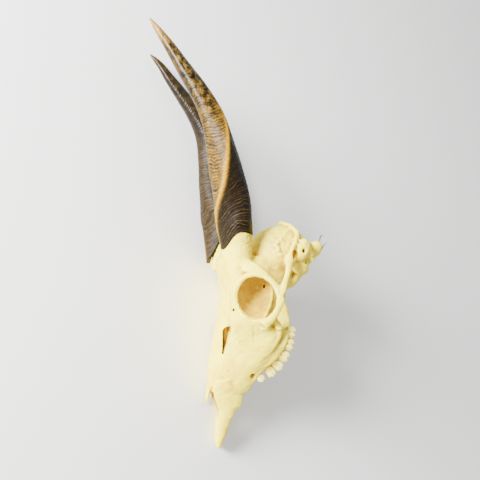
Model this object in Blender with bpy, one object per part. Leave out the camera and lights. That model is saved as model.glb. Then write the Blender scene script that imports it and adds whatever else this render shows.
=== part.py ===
"""A bushbuck skull without its lower jaw, life size, lying on its right side.

Skull axes while it is built, in millimetres: x runs from the brow to the teeth, y from the nose to
the horn tips, and z from the animal's right to its left. Every piece is turned into its resting
place at the end, and only then becomes metres.
"""

import math

import bmesh
import bpy
from mathutils import Matrix, Vector

# Driving sizes, in millimetres
GAP = 0.35
BONE_GRAIN = 1.15
BONE_TRIANGLES = 7600
ORBIT_HALF_WIDTH = 19.0
ORBIT_HALF_LENGTH = 20.3
ORBIT_CENTRE = Vector((7.5, -60.5, 44.5))
HORN_WALL = 3.0
HORN_SOCKET_DEPTH = 30.0
SHEATH_CLEARANCE = 1.8
CORE_SLACK = 2.2
HORN_RIM_LIFT = 32.0
WIRE_RADIUS = 0.65
CROWN_HEIGHT = 8.0
ROOT_DEPTH = 5.0

# How the skull lies: turns in degrees about its own x and y, and how deep the floor flattens the
# horn, the brow's edge and the muzzle where they touch it
LIE_ABOUT_X = 10.28
LIE_ABOUT_Y = -27.9
FLOOR_FLAT = 0.8


def clear_scene():
    for thing in list(bpy.data.objects):
        bpy.data.objects.remove(thing)


def link(name, mesh):
    thing = bpy.data.objects.new(name, mesh)
    bpy.context.scene.collection.objects.link(thing)
    return thing


def bend(a, b, c, d, t):
    """The Catmull-Rom value at share t between b and c."""
    return 0.5 * (2 * b + (c - a) * t + (2 * a - 5 * b + 4 * c - d) * t**2 + (3 * b - a - 3 * c + d) * t**3)


def curve_through(points, count):
    """Points of a smooth curve through the given ones, evenly numbered between them."""
    knots = [Vector(p) for p in points]
    knots = [2 * knots[0] - knots[1]] + knots + [2 * knots[-1] - knots[-2]]
    spans = len(knots) - 3
    made = []
    for k in range(count):
        at = k / (count - 1) * spans
        i = min(int(at), spans - 1)
        made.append(bend(*knots[i : i + 4], at - i))
    return made


def even_steps(path, count):
    """The same path with its points at equal distances."""
    reach = [0.0]
    for a, b in zip(path, path[1:]):
        reach.append(reach[-1] + (b - a).length)
    made = []
    i = 0
    for k in range(count):
        want = reach[-1] * k / (count - 1)
        while i < len(path) - 2 and reach[i + 1] < want:
            i += 1
        made.append(path[i].lerp(path[i + 1], (want - reach[i]) / (reach[i + 1] - reach[i])))
    return made, reach[-1]


def value_at(table, at):
    """A smooth value from a table of (place, value) pairs, level past its ends."""
    if at <= table[0][0]:
        return table[0][1]
    if at >= table[-1][0]:
        return table[-1][1]
    i = 0
    while table[i + 1][0] < at:
        i += 1

    def slope(k):
        low, high = max(0, k - 1), min(len(table) - 1, k + 1)
        return (table[high][1] - table[low][1]) / (table[high][0] - table[low][0])

    (x0, v0), (x1, v1) = table[i], table[i + 1]
    wide = x1 - x0
    t = (at - x0) / wide
    rise = v0 * (2 * t**3 - 3 * t**2 + 1) + v1 * (3 * t**2 - 2 * t**3)
    return rise + wide * (slope(i) * (t**3 - 2 * t**2 + t) + slope(i + 1) * (t**3 - t**2))


def loft(name, rings):
    """A closed solid: the first ring is a face, which is extruded from ring to ring."""
    bm = bmesh.new()
    count = len(rings[0])
    old = [bm.verts.new(p) for p in rings[0]]
    bm.faces.new(old)
    for ring in rings[1:]:
        new = [bm.verts.new(p) for p in ring]
        for i in range(count):
            j = (i + 1) % count
            bm.faces.new((old[i], old[j], new[j], new[i]))
        old = new
    bm.faces.new(old)
    bmesh.ops.triangulate(bm, faces=[face for face in bm.faces if len(face.verts) > 4])
    return closed(name, bm)


def closed(name, bm):
    bmesh.ops.recalc_face_normals(bm, faces=bm.faces)
    mesh = bpy.data.meshes.new(name)
    bm.to_mesh(mesh)
    bm.free()
    return link(name, mesh)


def frames_along(path, side):
    """For each point of a path: its direction and two cross directions, the first kept near side."""
    made = []
    for i, point in enumerate(path):
        ahead = (path[min(i + 1, len(path) - 1)] - path[max(i - 1, 0)]).normalized()
        across = (side - side.dot(ahead) * ahead).normalized()
        made.append((point, ahead, across, across.cross(ahead)))
    return made


def tube(name, points, widths, depths, side=(0, 0, 1), steps=12, sides=12):
    """A bar along a curve: widths run along side and depths across it, both as (share, half size)."""
    path = curve_through(points, steps)
    rings = []
    for i, (point, _, across, other) in enumerate(frames_along(path, Vector(side))):
        half_width = value_at(widths, i / (steps - 1))
        half_depth = value_at(depths, i / (steps - 1))
        rings.append([point + across * half_width * c + other * half_depth * s for c, s in circle(sides)])
    return loft(name, rings)


def circle(sides):
    turns = [2 * math.pi * k / sides for k in range(sides)]
    return [(math.cos(turn), math.sin(turn)) for turn in turns]


def ball(name, centre, radii, turn_z=0.0):
    """An ellipsoid, turned by degrees about the skull's cross axis."""
    bm = bmesh.new()
    bmesh.ops.create_icosphere(bm, subdivisions=4, radius=1.0)
    place = Matrix.Translation(centre) @ Matrix.Rotation(math.radians(turn_z), 4, "Z")
    bmesh.ops.transform(bm, matrix=place @ Matrix.Diagonal((*radii, 1)), verts=bm.verts)
    return closed(name, bm)


def prism(name, outline, low, high):
    """A flat outline of (x, y) points, extruded along z."""
    return loft(name, [[Vector((x, y, z)) for x, y in outline] for z in (low, high)])


def mirrored(thing):
    """The same piece on the animal's other side."""
    bm = bmesh.new()
    bm.from_mesh(thing.data)
    bmesh.ops.transform(bm, matrix=Matrix.Diagonal((1, 1, -1, 1)), verts=bm.verts)
    return closed(thing.name, bm)


def other_side(thing):
    """Moves a piece to the animal's other side."""
    swapped = mirrored(thing)
    bpy.data.objects.remove(thing)
    return swapped


def both(thing):
    return [thing, mirrored(thing)]


def settle(thing):
    """Makes a piece's modifiers part of its mesh."""
    graph = bpy.context.evaluated_depsgraph_get()
    mesh = bpy.data.meshes.new_from_object(thing.evaluated_get(graph))
    thing.modifiers.clear()
    thing.data = mesh
    return thing


def joined(name, things):
    """One mesh that holds every piece, each as it is."""
    bm = bmesh.new()
    for thing in things:
        bm.from_mesh(thing.data)
        bpy.data.objects.remove(thing)
    mesh = bpy.data.meshes.new(name)
    bm.to_mesh(mesh)
    bm.free()
    return link(name, mesh)


def grown_together(name, things, grain, rounds):
    """Pieces melted into one bone on a fine grid, with their meeting lines eased."""
    thing = joined(name, things)
    melt = thing.modifiers.new("melt", "REMESH")
    melt.mode = "VOXEL"
    melt.voxel_size = grain
    ease = thing.modifiers.new("ease", "SMOOTH")
    ease.iterations = rounds
    return settle(thing)


def cut(thing, cutter, operation="DIFFERENCE", solver="EXACT"):
    knife = thing.modifiers.new("knife", "BOOLEAN")
    knife.operation = operation
    knife.solver = solver
    knife.object = cutter
    settle(thing)
    bpy.data.objects.remove(cutter)
    return thing


# One row for each cut across the face: y, brow x, then (x, half width) of the roof's edge, the upper
# wall, the widest line, the lower wall and the tooth edge, and last the x of the palate.
FACE_CUTS = (
    (-154, -31.5, (-28.5, 8), (-21, 13.5), (-10, 17.0), (0, 16.5), (4.5, 13), -2),
    (-147, -33.0, (-30, 9), (-21, 15.5), (-8, 20.5), (4, 20), (9, 16.5), 2),
    (-138, -33.8, (-30.5, 10.5), (-20, 19), (-4, 24.5), (8, 24), (14, 20.5), 7),
    (-129, -32.8, (-29.5, 12), (-18, 22), (2, 29), (15, 28), (23, 24), 15),
    (-119, -31.4, (-28, 13.5), (-16, 25), (10, 33.5), (24, 31.5), (34, 27.5), 24),
    (-107, -29.2, (-25.5, 15), (-14, 28), (18, 38), (30, 34.5), (41, 30), 31),
    (-95, -26.9, (-23.5, 18), (-12.5, 31.5), (22, 41.5), (34, 33), (44.5, 29.5), 35),
    (-84, -24.0, (-20.5, 23), (-11, 37), (12, 46), (29, 29), (47, 24), 36),
    (-72, -21.4, (-17.8, 27.5), (-9, 40), (8, 45), (28, 28), (46, 20), 37),
    (-58, -19.8, (-16, 30.5), (-8, 40.5), (6, 42), (30, 26), (43, 16), 36),
    (-44, -19.8, (-16, 31.5), (-7, 39), (6, 37), (29, 27), (44, 18), 40),
    (-30, -22.8, (-18.5, 31), (-8, 36), (6, 32), (26, 26), (46, 20), 48),
    (-18, -21.0, (-16, 28), (-4, 30), (8, 27), (28, 27), (46, 22), 50),
)


def face_ring(row):
    """A closed ring across the face from one row of the table."""
    half = [(row[1], 0.0), *row[2:7], (row[7], 0.0)]
    whole = [Vector((x, row[0], z)) for x, z in half]
    whole += [Vector((p.x, p.y, -p.z)) for p in whole[-2:0:-1]]
    count = len(whole)
    ring = []
    for i in range(count):
        corners = [whole[(i + k) % count] for k in (-1, 0, 1, 2)]
        ring += [bend(*corners, t) for t in (0, 0.25, 0.5, 0.75)]
    return ring


def face_solid():
    """The muzzle, brow and cheeks in one closed loft."""
    rows = [face_ring(row) for row in FACE_CUTS]
    rows = [rows[0]] + rows + [rows[-1]]
    rings = []
    for i in range(len(rows) - 3):
        for t in (0, 0.33, 0.67):
            rings.append([bend(*corners, t) for corners in zip(*rows[i : i + 4])])
    return loft("face", rings + [rows[-1]])


# Middle line of each horn, from inside the brow to the tip. The right one sits a little further
# towards the brow and is a little shorter. Both are written on the left side.
LEFT_HORN_LINE = (
    (-6.5, -30, 22.5),
    (-6.6, -14, 24.5),
    (-7.8, 2, 26.5),
    (-10.9, 18, 29),
    (-15.0, 35, 31.5),
    (-20.4, 59, 35),
    (-25.4, 84, 37.5),
    (-31.6, 106, 39),
    (-40.9, 126, 39),
    (-52.0, 146, 38),
    (-64.8, 166, 36.5),
    (-78.0, 187, 35),
    (-98.0, 215.2, 34),
)
RIGHT_HORN_LINE = (
    (-13.0, -30, 22.5),
    (-14.6, -15, 24.0),
    (-14.4, 2, 26.5),
    (-15.4, 20, 29.0),
    (-19.4, 38, 31.5),
    (-21.9, 56, 34.0),
    (-23.2, 74, 36.5),
    (-25.2, 92, 38.0),
    (-28.5, 110, 38.5),
    (-35.2, 127.5, 38.0),
    (-45.5, 145, 37.0),
    (-58.3, 162, 36.0),
    (-71.4, 179, 35.0),
    (-82.0, 193.8, 34.5),
    (-93.4, 205.8, 34.0),
)

# Half width along a horn, and the turn of its keel in degrees: 180 faces the brow, 90 the
# animal's flank and 0 the nape.
HORN_HALF = (
    (0.0, 14.6),
    (0.06, 15.2),
    (0.12, 16.6),
    (0.18, 18.2),
    (0.25, 18.9),
    (0.37, 17.4),
    (0.43, 15.7),
    (0.52, 13.1),
    (0.61, 10.8),
    (0.7, 9.2),
    (0.785, 7.5),
    (0.91, 4.6),
    (0.97, 2.6),
    (1.0, 0.7),
)
KEEL_TURN = (
    (0.1, 193),
    (0.16, 188),
    (0.25, 144),
    (0.32, 114),
    (0.43, 84),
    (0.535, 50),
    (0.61, 24),
    (0.72, 4),
    (1.0, -8),
)


class Horn:
    """A horn: its line, and the shape of its sheath's lower edge, in millimetres along it."""

    def __init__(self, line, front_drop, outer_rise, rear_rise):
        path, self.length = even_steps(curve_through(line, 400), 121)
        self.frames = frames_along(path, Vector((1, 0, 0)))
        self.front_drop = front_drop
        self.outer_rise = outer_rise
        self.rear_rise = rear_rise
        self.rim = HORN_RIM_LIFT / self.length
        self.socket = HORN_SOCKET_DEPTH / self.length

    def ring(self, share, inset, wave=0.0, sides=28):
        """One cross cut: a rounded triangle with a sharp keel, its edge waved as the rim is."""
        at = share * (len(self.frames) - 1)
        i = min(int(at), len(self.frames) - 2)
        point, ahead, across, outer = (a.lerp(b, at - i) for a, b in zip(self.frames[i], self.frames[i + 1]))
        half = value_at(HORN_HALF, share) - inset
        keel = math.radians(value_at(KEEL_TURN, share))
        ring = []
        for k in range(sides):
            turn = 2 * math.pi * k / sides
            off = (turn - keel + math.pi) % (2 * math.pi) - math.pi
            reach = half * (0.97 + 0.05 * math.cos(3 * off) + 0.10 * math.exp(-((off / 0.32) ** 2)))
            c, s = math.cos(turn), math.sin(turn)
            rise = self.outer_rise * max(0, s) ** 2 + self.rear_rise * max(0, c) ** 2
            rise -= self.front_drop * max(0, -c) ** 1.6
            ring.append(point + (across * c + outer * s) * reach + ahead * rise * wave)
        return ring

    def sheath(self, name):
        """The horny sheath: a cup at the bottom for the bony core, and solid above it."""
        rings = []
        for down in (1, 0.75, 0.5, 0.25, 0):
            rings.append(self.ring(self.rim + self.socket * down, HORN_WALL + 1.2 * down, 1 - down))
        for step in range(33):
            up = step / 32
            rings.append(self.ring(self.rim + (1 - self.rim) * up, 0.0, max(0.0, 1 - up * 8)))
        return loft(name, rings)

    def room(self):
        """The space a sheath takes from the bone, with clearance all round."""
        half = value_at(HORN_HALF, self.rim)
        low = self.rim - SHEATH_CLEARANCE / self.length
        rings = [self.ring(low, half - 3, 1), self.ring(low, -SHEATH_CLEARANCE, 1)]
        for step in range(1, 12):
            up = step / 32
            rings.append(self.ring(self.rim + (1 - self.rim) * up, -SHEATH_CLEARANCE, max(0.0, 1 - up * 8)))
        return loft("room", rings)

    def core(self):
        """The bony core that stands in the sheath's cup."""
        rings = []
        for share in (0.04, 0.08, self.rim):
            rings.append(self.ring(share, HORN_WALL + CORE_SLACK, 0, 16))
        for down in (0.25, 0.5, 0.75, 0.96):
            rings.append(self.ring(self.rim + self.socket * down, HORN_WALL + 1.2 * down + CORE_SLACK, 0, 16))
        return loft("core", rings)

    def pedicle(self, inset):
        """The stump of brow bone under the sheath."""
        return loft("pedicle", [self.ring(share, inset, 0, 24) for share in (0, 0.04, 0.08, 0.12, 0.15)])


LEFT_HORN = Horn(LEFT_HORN_LINE, 12, 4, -1.5)
RIGHT_HORN = Horn(RIGHT_HORN_LINE, 25, 4, -3)


def orbit_ring(scale, lift=0.0, count=28):
    """Points round the eye socket's rim, in the tilted plane of its opening."""
    down = Vector((1.0, -0.03, 0.36)).normalized()
    back = Vector((-0.06, 1.0, 0.05)).normalized()
    out = down.cross(back)
    ring = []
    for c, s in circle(count):
        ring.append(
            ORBIT_CENTRE
            + down * ORBIT_HALF_WIDTH * scale * c
            + back * ORBIT_HALF_LENGTH * scale * s
            + out * lift
        )
    return ring


def orbit_cutter():
    """The hollow of an eye socket: a round mouth that narrows towards the middle of the skull."""
    base = Vector((15.0, -50.0, 15.0))
    sizes = ((-0.35, 1.12), (0.0, 1.0), (0.25, 1.02), (0.5, 0.94), (0.75, 0.74), (0.92, 0.46), (1.0, 0.18))
    rings = []
    for share, scale in sizes:
        rings.append([p + (base - ORBIT_CENTRE) * share for p in orbit_ring(scale)])
    return loft("orbit_hollow", rings)


def orbit_rim():
    """The raised rim round an eye socket."""
    ring = orbit_ring(1.13, -1.2, 40)
    centre = sum(ring, Vector()) / len(ring)
    bm = bmesh.new()
    loops = []
    for p, q in zip(ring, ring[1:] + ring[:1]):
        outward = (p - centre).normalized()
        lift = (q - p).normalized().cross(outward)
        loops.append([bm.verts.new(p + outward * 3.1 * c + lift * 3.4 * s) for c, s in circle(8)])
    for a, b in zip(loops, loops[1:] + loops[:1]):
        for k in range(8):
            j = (k + 1) % 8
            bm.faces.new((a[k], a[j], b[j], b[k]))
    return closed("orbit_rim", bm)


# Left front bone of the muzzle: y, middle x, half height, middle z and half thickness
PREMAXILLA_CUTS = (
    (-140, -13.0, 15.0, 19.0, 2.6),
    (-146, -14.0, 16.5, 17.6, 2.6),
    (-152, -15.0, 15.8, 16.2, 2.4),
    (-160, -13.8, 14.5, 14.4, 2.2),
    (-167, -13.0, 12.4, 12.9, 2.2),
    (-170, -14.4, 10.0, 12.2, 2.2),
    (-173, -15.5, 8.4, 11.6, 2.2),
    (-180, -17.2, 6.8, 10.4, 2.3),
    (-190, -19.1, 5.4, 8.0, 2.5),
    (-200, -21.1, 4.3, 5.4, 2.7),
    (-206, -22.0, 3.3, 3.8, 2.5),
    (-209.5, -22.4, 1.4, 2.8, 1.4),
)


def premaxilla():
    """A thin upright plate that ends in the snout's tip, and the rod of bone beside the midline."""
    rings = []
    for y, x, height, z, thick in PREMAXILLA_CUTS:
        ring = []
        for c, s in circle(20):
            ring.append(Vector((x + height * c, y, z + thick * s - 0.12 * height * c * c)))
        rings.append(ring)
    rod = tube(
        "rod",
        [(-20.5, -205, 3.2), (-17, -192, 2.4), (-13, -175, 2.3), (-6, -158, 2.4), (-2, -148, 2.5)],
        [(0, 1.7), (1, 1.5)],
        [(0, 2.6), (0.5, 2.2), (1, 2.4)],
    )
    return [loft("plate", rings), rod]


def bone_masses():
    """Every mass of bone, overlapping, before the hollows are cut."""
    masses = [face_solid()]
    masses.append(ball("braincase", (36, -14.6, 0), (36.5, 27.5, 31), 37))
    masses.append(ball("nape", (58.2, -9.2, 0), (17, 15, 33), -35))
    masses.append(ball("sphenoid", (41, -38, 0), (14, 16, 19)))
    masses.append(
        tube(
            "base",
            [(75, -14, 0), (66.5, -24, 0), (57.5, -38, 0), (47, -48, 0)],
            [(0, 14), (0.5, 11), (1, 9)],
            [(0, 7), (1, 7)],
        )
    )
    masses += both(ball("condyle", (77.5, -9.2, 11), (7.4, 9.4, 8), -20))
    masses += both(ball("bulla", (58, -27, 21), (9, 11, 8), 30))
    masses += both(ball("mastoid", (57, -12, 31), (9, 12, 7), -20))
    masses += both(
        tube(
            "paroccipital",
            [(62, -10, 30), (67, -17, 28), (71.5, -23, 26)],
            [(0, 5), (1, 2.2)],
            [(0, 6), (1, 2.4)],
        )
    )
    masses += both(ball("arch_root", (42, -23.5, 38.5), (5.5, 8, 7)))
    masses.append(LEFT_HORN.pedicle(0.3))
    masses.append(other_side(RIGHT_HORN.pedicle(2.4)))
    return masses


def thin_bars():
    """The bars, rims and ridges, added after the masses are eased."""
    bars = both(orbit_rim())
    bars += both(
        tube(
            "postorbital",
            [(-2, -28, 36), (8, -34, 42.5), (18, -43, 48), (27, -53, 50.5), (33, -62, 51)],
            [(0, 3.5), (0.5, 2.6), (1, 2.8)],
            [(0, 7), (0.5, 4.6), (1, 5.5)],
        )
    )
    bars += both(
        tube(
            "zygomatic",
            [
                (14, -86, 45),
                (22, -78, 49),
                (28, -67, 51),
                (31, -56, 51.5),
                (34.5, -44, 50.5),
                (39, -32, 47),
                (41.5, -22, 41),
            ],
            [(0, 3.5), (0.3, 2.6), (1, 2.8)],
            [(0, 6), (0.25, 4.0), (0.45, 4.6), (0.7, 2.8), (1, 4.5)],
            steps=18,
        )
    )
    bars += both(
        tube(
            "cheek_ridge",
            [(24, -80, 43.5), (32, -92, 37), (25, -108, 34.5), (15, -121, 30)],
            [(0, 3.2), (0.3, 3.6), (1, 2.2)],
            [(0, 3.4), (0.3, 3.6), (1, 2.4)],
        )
    )
    bars += both(
        tube(
            "nape_crest",
            [
                (42.6, 19.4, 2),
                (49.5, 14.4, 12),
                (54.5, 6, 24),
                (51, -2, 32.5),
                (45.5, -12, 38),
                (41.5, -22, 42),
            ],
            [(0, 2.2), (1, 2.6)],
            [(0, 2.4), (1, 3.0)],
            side=(1, 0.5, 0),
            steps=18,
        )
    )
    bars += both(
        tube(
            "pterygoid",
            [(37, -44, 12), (43.5, -48, 11), (50, -45, 10)],
            [(0, 2.0), (1, 1.5)],
            [(0, 8), (0.6, 5), (1, 3)],
        )
    )
    bars += both(
        tube(
            "nasal_tip",
            [(-31, -145, 5.5), (-33.2, -154, 5.0), (-35.2, -165.5, 4.4)],
            [(0, 4.0), (0.6, 3.0), (1, 1.0)],
            [(0, 1.9), (1, 1.1)],
        )
    )
    for piece in premaxilla():
        bars += both(piece)
    return bars


# Hollow of the nose: y, its top and bottom x, and its half width
NOSE_CUTS = (
    (-178, -28, -18, 6),
    (-168, -30, -13, 9.5),
    (-152, -29.5, -9, 12.5),
    (-138, -30.3, 0, 15.5),
    (-120, -28.0, 15, 18),
    (-104, -25.0, 23, 19),
    (-92, -20, 25, 17),
    (-84, -15, 23, 12),
)
VACUITY = (
    (-15.4, -87),
    (-14.2, -92),
    (-17, -104),
    (-20.7, -116),
    (-22.6, -120),
    (-21.6, -108),
    (-22, -93.5),
    (-20.6, -89.5),
)


def hollows():
    """Everything that is cut out of the bone."""
    made = both(orbit_cutter())
    nose = []
    for y, top, bottom, half in NOSE_CUTS:
        middle = (top + bottom) / 2
        tall = (bottom - top) / 2
        ring = []
        for c, s in circle(20):
            narrowed = 0.72 if c < -0.3 else 1.0
            ring.append(Vector((middle + tall * c, y, s * half * narrowed)))
        nose.append(ring)
    made.append(loft("nose_hollow", nose))
    made.append(
        tube(
            "choana",
            [(30, -92, 0), (38, -80, 0), (48, -66, 0), (60, -55, 0)],
            [(0, 8), (1, 8.5)],
            [(0, 6), (0.5, 12), (1, 14)],
        )
    )
    made += both(prism("vacuity", VACUITY, 6, 40))
    opening = [(60, -6, 0), (76, -4, 0), (95, -1, 0)]
    made.append(tube("magnum", opening, [(0, 6.5), (1, 7.5)], [(0, 6), (1, 6.5)]))
    made += both(
        tube(
            "ear_pit",
            [(51, -16, 23), (47, -18, 45)],
            [(0, 2.8), (1, 3.4)],
            [(0, 4.6), (1, 6.0)],
            side=(1, 0, 0),
        )
    )
    made += both(
        tube(
            "ear_hole",
            [(57, -13, 24), (58, -13.5, 44)],
            [(0, 1.8), (1, 2.0)],
            [(0, 2.2), (1, 2.6)],
            side=(1, 0, 0),
        )
    )
    made += both(
        tube(
            "cheek_hole",
            [(2, -124, 21), (9, -139, 24.5), (13, -150, 28)],
            [(0, 2.6), (1, 2.8)],
            [(0, 2.2), (1, 3.0)],
        )
    )
    return made


def skull_at_full_grain():
    """The whole bony skull in one closed mesh."""
    bone = grown_together("skull", bone_masses(), BONE_GRAIN, 6)
    bone = grown_together("skull", [bone] + thin_bars(), BONE_GRAIN, 2)
    for hollow in hollows():
        cut(bone, hollow)
    return grown_together("skull", [bone], BONE_GRAIN, 2)


# Left cheek teeth from the front: crown middle x, y, z, half length, half width and lobes
CHEEK_TEETH = (
    (19.0, -143.2, 21.0, 3.9, 2.8, 1),
    (29.6, -137.6, 23.0, 4.7, 3.7, 1),
    (37.6, -130.0, 25.0, 4.8, 4.4, 1),
    (43.4, -119.6, 26.5, 5.8, 5.0, 2),
    (48.4, -107.4, 27.3, 6.3, 5.6, 2),
    (50.6, -95.0, 27.0, 6.2, 5.4, 2),
)


def tooth(index):
    """A cheek tooth: a ribbed column whose chewing face has raised crescents round a trough."""
    x, y, z, half_length, half_width, lobes = CHEEK_TEETH[index]
    before = Vector(CHEEK_TEETH[max(0, index - 1)][:3])
    after = Vector(CHEEK_TEETH[min(5, index + 1)][:3])
    along = (after - before).normalized()
    out = (Vector((0, 0, 1)) - along.z * along).normalized()
    down = along.cross(out)
    if down.x < 0:
        down = -down
    top = Vector((x, y, z)) - down * 2.0
    sides = 8 * lobes
    rings = []
    for height, grow, dip in (
        (-CROWN_HEIGHT - ROOT_DEPTH, 0.6, 0),
        (-CROWN_HEIGHT, 0.84, 0),
        (-1.5, 1.0, 0),
        (0.6, 0.97, 0.9),
        (0.1, 0.6, 0.3),
        (-1.0, 0.3, 0),
    ):
        ring = []
        for c, s in circle(sides):
            rib = 1.0 - 0.16 * (abs(c) < 0.3) * (lobes == 2)
            ring.append(
                top
                + along * half_length * 0.96 * grow * c
                + out * half_width * grow * rib * s
                + down * (height + dip * abs(s))
            )
        rings.append(ring)
    return loft("tooth", rings)


def bodies_of(thing):
    """The separate closed bodies of a mesh, each as its own object, with the middle of each."""
    bm = bmesh.new()
    bm.from_mesh(thing.data)
    bm.faces.ensure_lookup_table()
    left = set(range(len(bm.faces)))
    made = []
    while left:
        stack = [min(left)]
        left.discard(stack[0])
        group = list(stack)
        while stack:
            for edge in bm.faces[stack.pop()].edges:
                for face in edge.link_faces:
                    if face.index in left:
                        left.discard(face.index)
                        stack.append(face.index)
                        group.append(face.index)
        piece = bmesh.new()
        verts = {}
        for index in group:
            corners = []
            for vert in bm.faces[index].verts:
                if vert.index not in verts:
                    verts[vert.index] = piece.verts.new(vert.co)
                corners.append(verts[vert.index])
            piece.faces.new(corners)
        size = piece.calc_volume(signed=True)
        middle = sum((vert.co for vert in piece.verts), Vector()) / len(piece.verts)
        mesh = bpy.data.meshes.new("body")
        piece.to_mesh(mesh)
        piece.free()
        made.append((size, middle, link("body", mesh)))
    bm.free()
    bpy.data.objects.remove(thing)
    return made


def parted(thing, wall, namer):
    """Cuts a thin wall out of a piece, and keeps the largest body under each name."""
    kept = {}
    for size, middle, body in sorted(bodies_of(cut(thing, wall)), key=lambda found: -found[0]):
        name = namer(middle)
        if name in kept or size <= 0:
            bpy.data.objects.remove(body)
            continue
        body.name = name
        kept[name] = body
    return kept


def wall_along(line, low=-75, high=75):
    """A thin wall that stands on a line of (x, y) points."""
    points = [Vector((x, y, 0)) for x, y in line]
    near, far = [], []
    for i, p in enumerate(points):
        ahead = (points[min(i + 1, len(points) - 1)] - points[max(i - 1, 0)]).normalized()
        side = Vector((-ahead.y, ahead.x, 0)) * GAP / 2
        near.append(p + side)
        far.append(p - side)
    return prism("wall", [(p.x, p.y) for p in near + far[::-1]], low, high)


def midline_wall():
    return prism("wall", [(-60, -230), (80, -230), (80, -60), (-60, -60)], -GAP / 2, GAP / 2)


NASAL_SEAM = (
    (-33.6, -190),
    (-32.4, -165),
    (-31.0, -152),
    (-28.9, -138),
    (-25.4, -126),
    (-22.6, -118),
    (-21.6, -106),
    (-21.6, -95),
    (-24.5, -89.5),
    (-31, -87),
    (-50, -86),
)
CHEEK_SEAM = (
    (-60, -122),
    (-24, -119.5),
    (-20, -115.5),
    (-14, -112.8),
    (-8, -106),
    (3, -105.5),
    (15, -103.5),
    (24, -96),
    (31, -86),
    (40, -79),
    (50, -74.5),
    (75, -72),
)
SNOUT_SEAM = (
    (-60, -147),
    (-31, -150),
    (-22, -154),
    (-12, -161),
    (-6, -167.5),
    (2, -174),
    (20, -185),
)


def side_name(bone):
    return lambda middle: bone + ("_left" if middle.z > 0 else "_right")


def bones():
    """The skull's bones, parted along their seams, as a dictionary."""
    skull = skull_at_full_grain()
    thin = skull.modifiers.new("thin", "DECIMATE")
    thin.ratio = BONE_TRIANGLES / len(skull.data.polygons) / 2
    settle(skull)
    cut(skull, LEFT_HORN.room())
    cut(skull, other_side(RIGHT_HORN.room()))
    halves = parted(skull, wall_along(NASAL_SEAM), lambda middle: "nasals" if middle.x < -24 else "rest")
    found = parted(halves["nasals"], midline_wall(), side_name("nasal"))
    halves = parted(
        halves["rest"], wall_along(CHEEK_SEAM), lambda middle: "cranium" if middle.y > -80 else "snout"
    )
    found["cranium"] = halves["cranium"]
    halves = parted(
        halves["snout"], wall_along(SNOUT_SEAM), lambda middle: "front" if middle.y < -160 else "cheeks"
    )
    found.update(parted(halves["front"], midline_wall(), side_name("premaxilla")))
    found.update(parted(halves["cheeks"], midline_wall(), side_name("maxilla")))
    return found


def hanger():
    """The loop of wire in the back of the skull."""
    points = [
        (83.2, -13, 7.3),
        (84.8, -7.5, 7.2),
        (84.8, -3.0, 4.0),
        (85.4, 2.6, 4.8),
        (86.2, 5.6, 8.0),
        (88.0, 2.6, 11.0),
        (88.4, -3.0, 12.0),
        (86.2, -7.5, 9.4),
        (84.0, -13, 9.0),
    ]
    thick = [(0, WIRE_RADIUS)]
    return tube("hanger", points, thick, thick, side=(1, -0.3, -0.4), steps=48, sides=8)


def wire_hole():
    """The hole that both ends of the wire stand in."""
    ends = [(83.3, -14, 8.2), (86.2, -4, 8.2)]
    return tube("wire_hole", ends, [(0, WIRE_RADIUS + 1.6)], [(0, WIRE_RADIUS + 0.7)], steps=2)


def span(things):
    """The lowest and highest x, y and z of all the pieces."""
    places = [vert.co for thing in things for vert in thing.data.vertices]
    low = Vector([min(place[axis] for place in places) for axis in range(3)])
    high = Vector([max(place[axis] for place in places) for axis in range(3)])
    return low, high


def lay_down(things):
    """Turns every piece into its resting place, with a small flat at each contact, in metres."""
    about_x = Matrix.Rotation(math.radians(LIE_ABOUT_X), 4, "X")
    turn = Matrix.Rotation(math.radians(LIE_ABOUT_Y), 4, "Y") @ about_x
    for thing in things:
        thing.data.transform(turn)
    low, high = span(things)
    lift = -low.z - FLOOR_FLAT
    for thing in things:
        if span([thing])[0].z + lift < 0:
            floor = prism("floor", [(-300, -300), (300, -300), (300, 300), (-300, 300)], -50 - lift, -lift)
            cut(thing, floor, solver="MANIFOLD")
    low, high = span(things)
    shift = Vector((-(low.x + high.x) / 2, -(low.y + high.y) / 2, lift))
    print("turned skull is shifted by", [round(value, 3) for value in shift], "mm")
    for thing in things:
        thing.data.transform(Matrix.Scale(0.001, 4) @ Matrix.Translation(shift))


def main():
    clear_scene()
    found = bones()
    cut(found["cranium"], LEFT_HORN.core(), "UNION")
    cut(found["cranium"], other_side(RIGHT_HORN.core()), "UNION")
    cut(found["cranium"], wire_hole())
    for index in range(len(CHEEK_TEETH)):
        cut(found["maxilla_left"], tooth(index), "UNION", "MANIFOLD")
        cut(found["maxilla_right"], other_side(tooth(index)), "UNION", "MANIFOLD")
    pieces = list(found.values())
    pieces.append(LEFT_HORN.sheath("horn_left"))
    right = other_side(RIGHT_HORN.sheath("right"))
    right.name = "horn_right"
    pieces.append(right)
    pieces.append(hanger())
    lay_down(pieces)


main()
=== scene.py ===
"""A bushbuck skull without its lower jaw, life size, lying on its right side on a pale floor.

Skull axes while it is built, in millimetres: x runs from the brow to the teeth, y from the nose to
the horn tips, and z from the animal's right to its left. Each finished piece is then turned and
shifted into its place on the floor.
"""

import math
import random

import bmesh
import bpy
import numpy as np
from mathutils import Matrix, Vector, kdtree


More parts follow.
